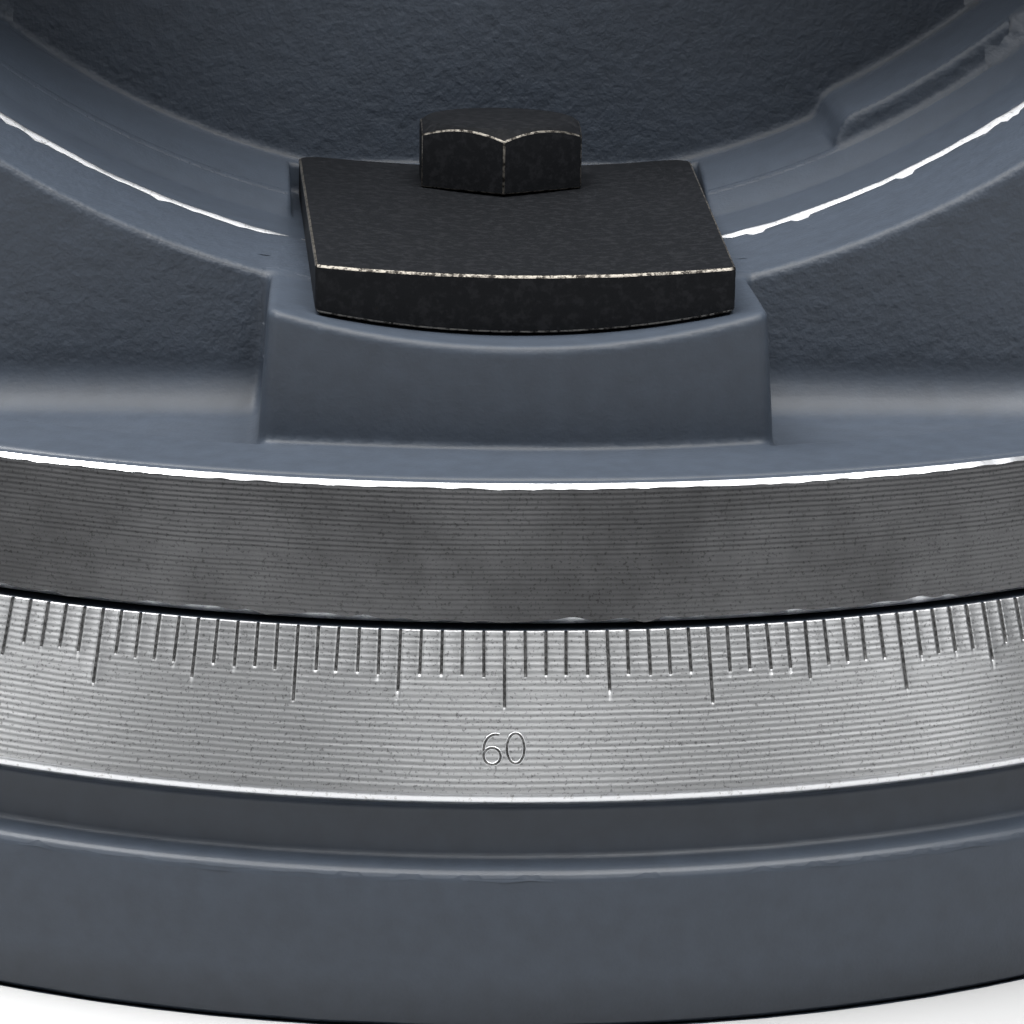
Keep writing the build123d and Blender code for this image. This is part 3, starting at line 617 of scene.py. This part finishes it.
# %% [markdown]
# Each degree is an engraved groove whose two burrs catch the light. Every fifth groove is longer and
# every tenth is longest. The scale was cut by hand feed, so no two grooves end at the same place.
# Real geometry is used for them, not a bump, because the burrs have to cast their own thin lines.


# %% degree ring with engraved grooves
def smooth_step(t):
    """3 t^2 - 2 t^3, held between 0 and 1."""
    t = np.clip(t, 0, 1)
    return t * t * (3 - 2 * t)


groove_lengths = (4.5, 5.9, 7.7)
groove_depth, groove_burr = 0.14, 0.03
cone_length = 16.2


def make_degree_ring():
    """Grid of the cone: columns gather round each degree's groove, rows gather where grooves end.
    A groove of depth d and burr b lifts the cone by cut * (-d in the middle, b beside it), where cut
    falls smoothly from 1 to 0 over a fifth of a millimetre at the groove's end."""
    rng = np.random.default_rng(60)
    mark = np.arange(360)
    kind = np.where(mark % 10 == 0, 2, np.where(mark % 5 == 0, 1, 0))
    length = np.choose(kind, groove_lengths) + rng.normal(0, 0.09, 360)
    across = np.array([-0.36, -0.16, -0.075, 0.075, 0.16, 0.36])
    jitter = rng.normal(0, 0.03, 360)
    lean = rng.normal(0, 0.008, 360)
    ends = [np.linspace(e - 0.28, e + 0.28, 4) for e in groove_lengths]
    along = np.concatenate([[0.0, 0.12, 0.4, 2.2, 3.4], *ends, [9.5, 11.5, 13.5, 15.3, cone_length]])
    centre = np.radians(270 + mark - 60) + ring_turn
    side_mm = across[None, :] + jitter[:, None]
    a = along[:, None, None]
    angle = centre[None, :, None] + (side_mm[None] + lean[None, :, None] * a) / (ring_r + a * down[0])
    cut = smooth_step((length[None, :, None] - a) / 0.22 + 0.5)
    width = np.abs(across)[None, None, :]
    shape = np.where(width < 0.1, -groove_depth, np.where(width < 0.2, groove_burr, 0.0))
    lift = cut * shape + 0.01 * np.sin(3 * angle)
    angle = angle.reshape(len(along), -1)
    lift = lift.reshape(len(along), -1)
    points = cone_points(along[:, None], angle, lift)
    # top edge to the joint face, and the rounded lip below
    turns = angle[0]
    top = turn_points(np.full_like(turns, ring_r - 0.25), np.full_like(turns, ring_z), turns)
    cone_foot = (ring_r + cone_length * down[0], ring_z + cone_length * down[1])
    lip = rounded([cone_foot, (lip_r, lip_z), (123.4, 23.7)], [0.75], 7)[1:]
    rows = [turn_points(np.full_like(turns, r), np.full_like(turns, z), turns) for r, z in lip]
    points = np.concatenate([top, points, *rows])
    count = len(along) + 1 + len(lip)
    quads = grid_quads(count, len(turns), True)[:, ::-1]
    # the three strips of each groove are coloured dark where the groove is cut: painted shade in the groove
    row = np.repeat(np.arange(count - 1), len(turns))
    column = np.tile(np.arange(len(turns)), count - 1)
    place = column % 6
    row_along = np.concatenate([[0], along, np.full(len(lip), 99.0)])
    row_end = row_along[np.minimum(row + 1, count - 1)]
    dark = (place >= 1) & (place <= 3) & (row_end <= length[column // 6] + 0.1) & (row > 0)
    kinds = np.where(dark, 1, 0)
    kinds[row >= len(along)] = 2
    return mesh_piece("degree_ring", points, quads, "swivel_base",
                      [ring_steel, engraved_painted_shade, bare_steel], (), kinds)


make_degree_ring()

# %% [markdown]
# The numbers are cut with a round-ended tool, a few strokes to a digit. A font would give its own
# letter shapes and thousands of faces, so each digit is a few arcs and lines, and a narrow strip
# with two raised burrs follows each stroke on the cone.


# %% numeral strokes
def arc(cx, cy, rx, ry, start, end, steps=14):
    """Part of an ellipse, angles in degrees from +X, counter-clockwise if end > start."""
    t = np.radians(np.linspace(start, end, steps))
    return np.stack([cx + rx * np.cos(t), cy + ry * np.sin(t)], -1)


def line(*points):
    """A stroke of straight parts."""
    return np.array(points, float)


strokes = {
    "0": [arc(0, 0, 0.29, 0.5, 0, 360, 24)],
    "1": [line((-0.14, 0.3), (0.03, 0.5), (0.03, -0.5))],
    "2": [np.concatenate([arc(0, 0.22, 0.28, 0.28, 165, -35), line((-0.28, -0.5), (0.3, -0.5))])],
    "3": [arc(0, 0.25, 0.25, 0.25, 150, -90), arc(0, -0.25, 0.28, 0.25, 90, -150)],
    "4": [line((0.12, -0.5), (0.12, 0.5), (-0.3, -0.2), (0.3, -0.2))],
    "5": [np.concatenate([line((0.24, 0.5), (-0.2, 0.5), (-0.23, 0.05)),
                          arc(0, -0.18, 0.28, 0.32, 130, -140)])],
    "6": [np.concatenate([arc(0.12, 0.0, 0.4, 0.5, 75, 180), arc(0, -0.22, 0.28, 0.28, 180, 530, 22)])],
    "7": [line((-0.28, 0.5), (0.28, 0.5), (-0.08, -0.5))],
    "8": [arc(0, 0.25, 0.23, 0.25, -90, 270, 20), arc(0, -0.25, 0.28, 0.25, 90, 450, 20)],
    "9": [np.concatenate([arc(-0.12, 0.0, 0.4, 0.5, -105, 0), arc(0, 0.22, 0.28, 0.28, 0, 350, 22)])],
}


def stroke_strip(path, width):
    """Six lines beside a path, which are edge, burr, groove, groove, burr and edge. Each is the path
    moved along its normal by a share of width. Gives their places (side, up) and their lifts."""
    way = np.gradient(path, axis=0)
    way /= np.maximum(np.linalg.norm(way, axis=1), 1e-9)[:, None]
    normal = np.stack([-way[:, 1], way[:, 0]], -1)
    shift = width * np.array([-1.0, -0.72, -0.45, 0.45, 0.72, 1.0])
    lift = np.array([0.0, 0.045, 0.02, 0.02, 0.045, 0.0])
    place = path[:, None] + normal[:, None] * shift[None, :, None]
    return place, np.broadcast_to(lift, place.shape[:2])


# %% numerals
def make_numerals():
    """Digits for every thirtieth degree, centred under their groove."""
    points, quads, kinds, total = [], [], [], 0
    tall, pitch, middle = 3.0, 2.35, 11.7
    rng = np.random.default_rng(7)
    for number in range(0, 360, 30):
        centre = math.radians(270 + number - 60) + ring_turn
        digits = str(number)
        for place_number, digit in enumerate(digits):
            shift = (place_number - (len(digits) - 1) / 2) * pitch + rng.normal(0, 0.05)
            sink = middle + rng.normal(0, 0.06)
            for path in strokes[digit]:
                strip, lift = stroke_strip(path * tall, 0.17)
                along = sink - strip[..., 1]
                side = centre + (shift + strip[..., 0]) / (ring_r + along * down[0])
                made = cone_points(along, side, lift + 0.012)
                rows, columns = lift.shape
                cells = grid_quads(rows, columns, False)
                points.append(made)
                quads.append(cells + total)
                # the three middle strips of each stroke take the dark groove colour, painted shade in the
                # groove
                kinds.append(np.tile([0, 1, 1, 1, 0], rows - 1))
                total += len(made)
    return mesh_piece("ring_numerals", np.concatenate(points), np.concatenate(quads)[:, ::-1], "swivel_base",
                      [bare_steel, engraved_painted_shade], (), np.concatenate(kinds))


make_numerals()

# %% [markdown]
# The rest of the base is a copy of its CAD node without the turned outside that the wall and the
# ring now show. A copy is welded first, because CAD meshes come as loose triangles, and its flat
# faces are joined again so that a bevel can run along whole edges.

# %% bodies and slots from the record
node_body = {n: body for body, members in frame["record"]["behaviour"]["bodies"].items() for n in members}


# %% copies of CAD nodes
def cad_copy(cad_name, name, materials, drop=None, bevel=0.0, worn=None):
    """A welded copy of a CAD node, some triangles dropped, with rounded edges; replaces the node."""
    source = bpy.data.objects[cad_name]
    mesh = source.data.copy()
    mesh.name = name
    work = bmesh.new()
    work.from_mesh(mesh)
    work.transform(source.matrix_world)
    bmesh.ops.remove_doubles(work, verts=work.verts, dist=1e-6)
    if drop is not None:
        work.verts.ensure_lookup_table()
        work.faces.ensure_lookup_table()
        spots = np.array([v.co[:] for v in work.verts]) / mm
        corners = np.array([[v.index for v in f.verts] for f in work.faces])
        gone = drop(spots[corners])
        bmesh.ops.delete(work, geom=[work.faces[i] for i in np.flatnonzero(gone)], context="FACES")
    bmesh.ops.dissolve_limit(work, angle_limit=math.radians(1.0), verts=work.verts, edges=work.edges)
    work.to_mesh(mesh)
    work.free()
    mesh.materials.clear()
    for material in materials:
        mesh.materials.append(material)
    mesh.polygons.foreach_set("material_index", np.zeros(len(mesh.polygons), np.int32))
    mesh.polygons.foreach_set("use_smooth", np.ones(len(mesh.polygons), bool))
    mesh.set_sharp_from_angle(angle=math.radians(35))
    made = bpy.data.objects.new(name, mesh)
    bpy.context.scene.collection.objects.link(made)
    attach(made, node_body[cad_name])
    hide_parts(cad_name)
    if bevel:
        rounding = made.modifiers.new("edges", "BEVEL")
        rounding.width = bevel * mm
        rounding.segments = 2
        rounding.limit_method = "ANGLE"
        rounding.angle_limit = math.radians(38)
        if worn is not None:
            rounding.material = worn
    print(name, len(mesh.polygons), "faces from", cad_name)
    return made


# %% base casting
def turned_outside(corner):
    """True for triangles of the turned outside: all corners beyond the ring and off the lugs' tops."""
    radius = np.hypot(corner[..., 0], corner[..., 1])
    z = corner[..., 2]
    shell = (radius > ring_r - 0.1).all(-1) & (z.min(-1) < 39.9) & (z.max(-1) > 0.01)
    side = (np.abs(radius - 124.6) < 0.04).all(-1)
    return shell & (side | (z.min(-1) > 16.1))


cad_copy("swivel_base", "base_casting", [enamel_smooth], turned_outside)

# %% [markdown]
# ## The saddle
# The saddle's skirt was turned on the same spindle as the base ring, so its band stands in line
# with the ring across a thin gap. Its two chamfers were filed by hand: the band is a profile on a
# ring of columns, and only the chamfers' rows wander.

# %% turned band
band_profile = np.array([(112.4, 40.62), (117.35, 40.62), (117.99, 41.15), (118.0, 41.3), (118.0, 47.0),
                         (118.0, 54.45), (117.98, 54.6), (117.52, 55.05), (116.4, 55.22)])


def make_band():
    """The band's profile on a ring of columns; its filed chamfers wander by a tenth of a millimetre."""
    columns = 1440
    angle = np.linspace(0, 2 * np.pi, columns, endpoint=False)
    radius = np.repeat(band_profile[:, :1], columns, 1)
    height = np.repeat(band_profile[:, 1:], columns, 1)
    spot = turn_points(np.full(columns, 118.0), np.full(columns, 40.0), angle)
    low = 0.14 * smooth_noise(spot, 3.0, 11) + 0.12 * smooth_noise(spot, 14.0, 12)
    high = 0.05 * smooth_noise(spot, 2.0, 13) + 0.05 * smooth_noise(spot, 12.0, 14)
    height[2:4] += low
    height[5:7] += high
    points = turn_points(radius, height, angle)
    quads = grid_quads(len(band_profile), columns, True)
    # rows of kind 0 take the band steel, whose dark tone is painted shade
    kind_of_row = np.array([0, 1, 0, 0, 0, 0, 1, 2])
    return mesh_piece("saddle_band", points, quads, "saddle",
                      [band_steel_painted_dark, bare_steel, enamel_smooth], (), np.repeat(kind_of_row, columns), sharp=25)


make_band()

# %% [markdown]
# Above the band everything is casting: a rim, a shallow pocket, the two pads that carry the clamps,
# and the walls that cradle the tilting half. The skin is written as a field of those four solids,
# less the channel, the T-slots and the notches, with a fillet at every join. The channel and the
# T-slots are cut a little large, because the coarse grid rounds their corners inwards.

# %% saddle dimensions
tilt_z = 170.5  # height of the tilt axis
shoe_in, shoe_out, shoe_half = 104.4, 110.1, 58.7
rim_r, pocket_z, rim_rise, rim_foot = 116.95, 54.2, 1.15, 40.25
wall_x, wall_y, wall_corner, wall_r, wall_top, wall_foot = 112.0, 82.1, 45.0, 115.0, 96.0, 45.0
pad_half, pad_r, pad_slope, pad_z = 27.0, 105.0, 0.08, 52.2
clamp_y = 39.5
neck_half, neck_r = 7.2, 116.2
tee_half, tee_low, tee_high = 10.7, 114.6, 122.2
notch_x, notch_half, notch_z = 86.0, 18.0, 58.0
lock_x, lock_hole_r, hub_r = 100.0, 6.6, 24.0
wall_fillet, pad_fillet, cut_round = 4.6, 1.3, 0.25
print("saddle channel radius", shoe_out, "about a tilt axis at", tilt_z)


# %% saddle field
def saddle_field(x, y, z):
    """Distance, in mm, to the saddle's skin: disc, walls and pads joined by fillets, less the channel."""
    r = np.hypot(x, y)
    bore = np.hypot(x, z - tilt_z)
    top = pocket_z + rim_rise * smooth_step((r - 104.3) / 1.8)
    wave = 0.05 * np.sin(x / 7.0 + 1.3 * np.sin(y / 11.0)) * np.sin(y / 6.0 + z / 9.0)
    disc = round_common(r - rim_r, (z - top) * 0.85, 0.45)
    disc = np.maximum(disc, rim_foot - z)
    plan = round_common(box_field(x, y, wall_x, wall_y, wall_corner), r - wall_r, 3.0)
    ragged = 0.22 * np.sin(x / 2.7 + np.sin(x / 5.1)) * np.sin(y / 3.1 + 1.0) + 0.18 * np.sin(x / 9.3)
    wall = round_common(plan + 2.5 * wave + 0.35 * ragged, shoe_in + 0.15 * ragged - bore, 0.9)
    wall = round_common(wall, z - wall_top, 1.5)
    wall = np.maximum(wall, wall_foot - z)
    side = np.abs(x) - pad_half + pad_slope * (z - pad_z)
    pad = round_common(side, r - pad_r, 1.5)
    pad = round_common(pad, shoe_in - bore, 0.8)
    pad = np.maximum(pad, wall_foot - z)
    solid = round_union(round_union(wall, disc, wall_fillet), pad, pad_fillet) + wave
    channel = np.maximum(np.abs(y) - shoe_half - 0.45, bore - shoe_out - 0.7)
    beside = np.abs(np.abs(y) - clamp_y)
    neck = np.maximum(beside - neck_half, bore - neck_r)
    tee = np.maximum(np.maximum(beside - tee_half, tee_low - bore), bore - tee_high)
    notch = np.maximum(np.maximum(notch_x - np.abs(x), np.abs(y) - notch_half), notch_z - z)
    hole = np.hypot(np.abs(x) - lock_x, y) - lock_hole_r
    hub = r - hub_r
    for cut in (channel, neck, tee, notch, hole, hub):
        solid = round_common(solid, -cut, cut_round)
    return solid


# %% [markdown]
# A casting is meshed in two pieces: a coarse skin for most of it, and a fine patch in front, where
# the paint and the fillets are seen close up. One fine skin would need millions of faces. The
# rough_cast mask is measured on the points themselves.


# %% castings from fields
def casting(name, field, low, high, step, body, keep, rough_at, replaces=()):
    """A painted casting from a field, with the rough_cast mask measured on its points."""
    points, quads = field_skin(field, low, high, step)
    points, quads = trim(points, quads, keep(points))
    made = mesh_piece(name, points, quads, body, [enamel_cast], replaces)
    mask = made.data.attributes.new("rough_cast", "FLOAT", "POINT")
    where = np.empty(len(made.data.vertices) * 3, np.float32)
    made.data.vertices.foreach_get("co", where)
    mask.data.foreach_set("value", np.clip(rough_at(where.reshape(-1, 3) / mm), 0, 1).astype(np.float32))
    return made


# %% saddle casting
def saddle_rough(p):
    """The walls were left as cast; pads, floor and rim were dressed before painting."""
    r = np.hypot(p[:, 0], p[:, 1])
    wall = (np.abs(p[:, 0]) > 26.5) | (r < 84.5)
    return np.where(wall, 0.06 + 0.94 * smooth_step((p[:, 2] - 57.5) / 3.5), 0.06)


def in_front(p, half, low_y, high_y):
    """True inside the block of space that the fine patch covers."""
    return (np.abs(p[:, 0]) < half) & (p[:, 1] > low_y) & (p[:, 1] < high_y)


patch_x, patch_step = 60.0, 0.5
whole_step = 1.7
casting(
    "saddle_casting", saddle_field, (-118.5, -118.5, 38.0), (118.5, 118.5, 99.0), whole_step,
    "saddle", lambda p: ~in_front(p, patch_x, -118.0, -72.0), saddle_rough, ("saddle",))
casting(
    "saddle_casting_front", saddle_field, (-patch_x - 2, -118.0, 52.0), (patch_x + 2, -70.0, 92.0),
    patch_step, "saddle", lambda p: p[:, 2] > 52.6, saddle_rough)

# %% [markdown]
# ## The tilting cradle
# The cradle is a slice of a drum. Its shoe was bored and turned, then painted inside. The web stays
# as cast, with a raised boss on the right that the pattern maker added for stiffness. The field
# unites shoe, web, boss and table, then cuts the seats of the clamp blocks and the core between the
# two faces of the web.

# %% cradle dimensions
boss_y, boss_r, boss_start, boss_end = 39.5, 99.3, math.radians(24), math.radians(70)
web_half, web_r = 24.0, 107.0
cove_r, cove_start, cove_end, cove_floor_r = 60.7, 25.4, 46.0, 100.8
table_x, table_low, table_top = 99.0, 130.0, 142.0
seat_x, seat_half, seat_spread, seat_start = 0.8, 24.3, 0.037, 26.4
core_half, core_r, core_top = 12.0, 92.0, 130.0
window_x, window_low = 60.0, 125.0
print("cradle shoe from radius", shoe_in, "to", shoe_out)


# %% cradle field
def cradle_field(x, y, z):
    """Distance, in mm, to the cradle's skin: shoe with its cove, web, table, boss and clamp seats."""
    side = np.abs(y)
    rho = np.hypot(x, z - tilt_z)
    inner = cove_floor_r + cove_r - np.sqrt(cove_r ** 2 - np.clip(side - cove_start, 0, 20.6) ** 2)
    inner = np.where(side > cove_end, shoe_in, inner)
    wave = 0.05 * np.sin(x / 8.0 + 1.1 * np.sin(z / 10.0)) * np.sin(z / 6.5 + y / 7.0)
    ragged = 0.2 * np.sin(x / 3.3 + np.sin(x / 6.1)) + 0.16 * np.sin(x / 10.7 + 0.7)
    shoe = round_common(rho - shoe_out, inner - rho, 0.1)
    rim = (side - shoe_half + shoe_in - rho + 0.8) * 0.707
    shoe = np.maximum(np.maximum(shoe, side - shoe_half), rim)
    web = np.maximum(side - web_half + 2.0 * wave, rho - web_r)
    solid = round_union(shoe, web, 0.9 + 0.3 * ragged)
    low, high = boss_start, boss_end
    start = -(x * math.cos(low) - (tilt_z - z) * math.sin(low))
    end = x * math.cos(high) - (tilt_z - z) * math.sin(high)
    crown = boss_r - 0.05 * (boss_y - side) - rho + 0.3 * wave
    bevel = (start + crown) * 0.707 + 1.6
    boss = round_common(np.maximum(-boss_y - y + wave, rho - web_r), crown, 0.8)
    boss = round_common(boss, np.maximum(start, bevel), 0.9)
    boss = np.maximum(np.maximum(boss, end), y)
    solid = round_union(solid, boss, 0.8)
    table = np.maximum(np.maximum(np.abs(x) - table_x, side - shoe_half), table_low - z)
    solid = round_union(solid, table, 3.0)
    spread = np.abs(x - seat_x) - seat_half - seat_spread * (shoe_half - side)
    seat = np.maximum(np.maximum(spread, seat_start - side), rho - shoe_in)
    solid = round_common(solid, -seat, 0.3)
    bar = np.maximum(np.maximum(spread, np.abs(side - 25.0) - 1.4), np.maximum(z - 72.2, 64.0 - z))
    solid = round_union(solid, bar, 0.4)
    hollow = np.maximum(np.maximum(side - core_half, rho - core_r), z - core_top)
    window = np.maximum(np.maximum(np.abs(x) - window_x, side - core_half), window_low - z)
    solid = round_common(solid, -hollow, 0.8)
    solid = round_common(solid, -window, 0.8)
    solid = np.maximum(solid, side - shoe_half)
    return round_common(solid, z - table_top, 0.6)


# %% cradle casting
def cradle_rough(p):
    """The web and the boss are as cast; the bored shoe is smooth."""
    face = (np.abs(p[:, 1]) < 24.9) | ((p[:, 1] < -39.0) & (p[:, 1] > -40.2))
    return np.where(face, 1.0, 0.1)


casting(
    "cradle_casting", cradle_field, (-108.5, -60.5, 58.0), (108.5, 60.5, 144.0), whole_step,
    "cradle", lambda p: ~(in_front(p, patch_x, -61.0, -22.0) & (p[:, 2] < 116.0)),
    cradle_rough, ("tilt_cradle",))
casting(
    "cradle_casting_front", cradle_field, (-patch_x - 2, -60.0, 59.0), (patch_x + 2, -20.5, 118.0),
    patch_step, "cradle", lambda p: p[:, 1] < -21.0, cradle_rough)


# %% [markdown]
# The shoe's rims were filed after painting, which left a bright chamfer. It is under a millimetre
# wide, finer than the castings' grid, so it is a strip of its own that lies on the chamfer and ends
# in round points. Its width wanders as a file's stroke does.


# %% bright chamfer of the shoe
def shoe_edge(name, face, start, end, brown_at):
    """A narrow strip on the shoe's rim chamfer, from one angle about the tilt axis to another.
    Across it runs from (rho, side) = (104.38, 57.85) to (105.25, 58.73), pinched round at both ends."""
    count = max(int((end - start) / math.radians(0.2)), 8)
    angle = np.linspace(start, end, count)
    from_end = np.minimum(angle - start, end - angle) * shoe_in
    share = np.clip(from_end / 0.9, 0, 1)
    pinch = np.sqrt(share * (2 - share))
    across = np.array([0.0, 0.12, 0.88, 1.0])
    spot = np.stack([shoe_in * np.sin(angle), 0 * angle, shoe_in * np.cos(angle)], -1)
    wander = 0.06 * smooth_noise(spot, 2.5, 21) + 0.05 * smooth_noise(spot, 9.0, 22)
    t = 0.5 + (across[None] - 0.5) * pinch[:, None]
    rho = shoe_in - 0.1 + 0.95 * t + wander[:, None] * (across[None] - 0.5)
    side = shoe_half - 0.93 + 0.95 * t
    lift = np.where((across > 0.01) & (across < 0.99), 0.05, -0.05)[None]
    rho, side = rho - 0.707 * lift, side + 0.707 * lift
    points = np.stack([rho * np.sin(angle)[:, None], face * side, tilt_z - rho * np.cos(angle)[:, None]], -1)
    quads = grid_quads(count, 4, False)
    if face > 0:
        quads = quads[:, ::-1]
    middle = (angle[:-1] + angle[1:]) / 2
    # a short stretch of the strip around the given angle is coloured brown
    brown = np.abs(middle - brown_at) < math.radians(0.55)
    kinds = np.repeat(np.where(brown, 1, 0), 3)
    return mesh_piece(name, points.reshape(-1, 3), quads, "cradle",
                      [bare_steel, rust_spot], (), kinds)


side_end = math.radians(75)
shoe_edge("shoe_edge_front_left", -1, -side_end, math.radians(-13.0), 9.0)
shoe_edge("shoe_edge_front_middle", -1, math.radians(-12.9), math.radians(13.2), math.radians(-11.6))
shoe_edge("shoe_edge_front_right", -1, math.radians(13.3), side_end, 9.0)
shoe_edge("shoe_edge_rear", 1, -side_end, side_end, 9.0)

# %% [markdown]
# ## Clamps, screws and the vise above
# The clamp blocks, bolts, nuts, screws and crank are machined and blackened. Their CAD shapes are
# right already, so each is a welded copy whose edges are rounded, and the black is worn off there.
# A mask from the mesh's curvature could find the edges too, but the bevel's own material slot puts
# the bare metal exactly on them.

# %% blackened pieces with worn edges
worn_widths = {
    "clamp_block_front": 0.26, "clamp_block_rear": 0.26, "clamp_bolt_front": 0.22, "clamp_bolt_rear": 0.22,
    "swivel_lock_nut_left": 0.22, "swivel_lock_nut_right": 0.22, "swivel_lock_washers": 0.2,
    "swivel_lock_bolts": 0.3, "bed_screws": 0.25, "fixed_jaw_screws": 0.25, "screw_nut_screws": 0.12,
    "fixed_jaw_plate_screws": 0.15, "moving_jaw_plate_screws": 0.15, "crank": 0.6,
}
for cad_name, width in worn_widths.items():
    cad_copy(cad_name, cad_name + "_black", [black_oxide, worn_edge], bevel=width, worn=1)

# %% [markdown]
# The bed and jaws are enamelled castings, their plates and keepers are ground steel, and the screw's
# nut is bronze. They are seen from further off, so their CAD shapes with rounded edges are enough.

# %% enamelled and ground pieces of the vise
for cad_name, width, finish in (
    ("vise_bed", 1.2, enamel_smooth), ("fixed_jaw", 1.5, enamel_smooth), ("moving_jaw", 1.5, enamel_smooth),
    ("fixed_jaw_plate", 0.4, ground_steel), ("moving_jaw_plate", 0.4, ground_steel),
    ("jaw_keepers", 0.4, ground_steel), ("screw_nut", 0.5, bronze),
    ("retaining_collar", 0.4, shaft_steel), ("grip_pin", 0.3, shaft_steel),
):
    cad_copy(cad_name, cad_name + "_finished", [finish], bevel=width)


# %% [markdown]
# The leadscrew has a trapezoidal thread. Stacked rings would show no lead and a Screw modifier would
# leave its ends open, so one grid is skewed until each turn meets the next. A profile carried round
# the same axis makes its nose and its outer end.

# %% leadscrew dimensions
screw_z, screw_r, nose_r, root_r = 165.0, 9.95, 8.0, 7.6
screw_end, screw_shoulder = -233.8, -50.4
print("leadscrew", round(screw_shoulder - screw_end, 1), "mm long")


# %% leadscrew thread
def make_leadscrew():
    """Right-hand trapezoidal thread of 5 mm pitch about Y: row k of column c lies at
    y = k/4 pitch + pitch c/columns, so that the rows follow the helix and close on themselves."""
    pitch, columns = 5.0, 48
    first, last = screw_end, screw_shoulder
    steps = int((last - first) / pitch) * 4 + 8
    k = np.arange(-4, steps)
    share = np.choose(k % 4, [0.08, 0.42, 0.58, 0.92]) + k // 4
    depth = np.choose(k % 4, [screw_r, screw_r, root_r, root_r])
    c = np.arange(columns)
    y = first + pitch * (share[:, None] + c[None] / columns)
    plain = np.where(y < -208, screw_r, nose_r - 0.05)
    radius = np.where((y > -208) & (y < -58), depth[:, None], plain)
    radius = np.where(y > last - 2.5, screw_r, radius) - np.clip(y - last + 0.8, 0, 0.8) * (y < last + 0.1)
    y = np.clip(y, first, last)
    turn = 2 * np.pi * c / columns
    points = np.stack([radius * np.sin(turn), y, screw_z + radius * np.cos(turn)], -1).reshape(-1, 3)
    rows = len(k)
    r, n = np.meshgrid(np.arange(rows - 4), c, indexing="ij")
    nxt, lift = (n + 1) % columns, np.where(n + 1 == columns, 4, 0)
    quads = np.stack([r * columns + n, (r + 1) * columns + n, (r + 1 + lift) * columns + nxt,
                      (r + lift) * columns + nxt], -1)[:-1].reshape(-1, 4)
    return mesh_piece("leadscrew_thread", points, quads, "leadscrew", [shaft_steel],
                      ("leadscrew",), sharp=30)


make_leadscrew()


# %% ends of the leadscrew
def screw_tip(name, profile):
    """A profile (radius, y) carried round the screw's axis, which lies along Y."""
    profile = np.array(profile)
    angle = np.linspace(0, 2 * np.pi, 64, endpoint=False)
    around = turn_points(profile[:, :1], profile[:, 1:], angle)
    points = np.stack([around[:, 0], around[:, 2], screw_z - around[:, 1]], -1)
    quads = grid_quads(len(profile), len(angle), True)[:, ::-1]
    return mesh_piece(name, points, quads, "leadscrew", [shaft_steel], sharp=30)


screw_tip("leadscrew_nose", [(0.0, screw_shoulder), (nose_r, screw_shoulder), (nose_r, -1.6), (7.4, -1.0),
                             (0.0, -1.0)])
screw_tip("leadscrew_end", [(0.0, -233.9), (9.2, -233.9), (screw_r, -233.2), (screw_r, -232.0)])

# %% [markdown]
# Pins, bushes and screws that are mostly hidden keep their CAD mesh and only get a finish.

# %% pieces that keep their CAD mesh
for cad_name, finish in (
    ("pivot_pin", ground_steel), ("pivot_bush", bronze), ("clamp_t_nuts", black_oxide),
    ("keeper_screws", black_oxide), ("crank_set_screw", black_oxide), ("crank_grip", grip_plastic),
):
    mesh = frame["nodes"][cad_name].data
    mesh.materials.clear()
    mesh.materials.append(finish)
    print(cad_name, "keeps its CAD mesh,", finish.name)

# %% [markdown]
# ## The bench
# A pale flat sheet stands in for the bench, so that the outline reads against white. It is marked
# as a stage, because it isn't part of the vise.

# %% floor
floor_material, floor_tree, floor_shader = new_material("bench", Roughness=0.9)
floor_shader.inputs["Base Color"].default_value = (0.3, 0.3, 0.3, 1)
half = 3.0
floor_mesh = bpy.data.meshes.new("floor")
floor_corners = [(-half, -half, 0), (half, -half, 0), (half, half, 0), (-half, half, 0)]
floor_mesh.from_pydata(floor_corners, [], [(0, 1, 2, 3)])
floor_mesh.materials.append(floor_material)
floor = bpy.data.objects.new("floor", floor_mesh)
bpy.context.scene.collection.objects.link(floor)
floor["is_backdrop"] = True
print("floor", 2 * half, "m square")

# %% [markdown]
# The bed and jaws stand over the clamp and would shade it from the overhead softboxes. Light
# linking gives each softbox a list of the pieces that shade it, and the bed, jaws, screw and crank
# aren't on it. No real lamp does this: it is a choice for the picture, and changes no piece.

# %% what shades the softbox
shades = bpy.data.collections.new("softbox_shades")
above = ("vise_bed", "jaw", "screw_nut", "leadscrew", "crank", "grip_pin", "retaining_collar", "keeper",
         "bed_screws")
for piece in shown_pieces():
    if not any(word in piece.name for word in above):
        shades.objects.link(piece)
overhead.light_linking.blocker_collection = shades
near_shades = bpy.data.collections.new("lower_softbox_shades")
for piece in shades.objects:
    if piece.name != "cradle_casting":
        near_shades.objects.link(piece)
lower.light_linking.blocker_collection = near_shades
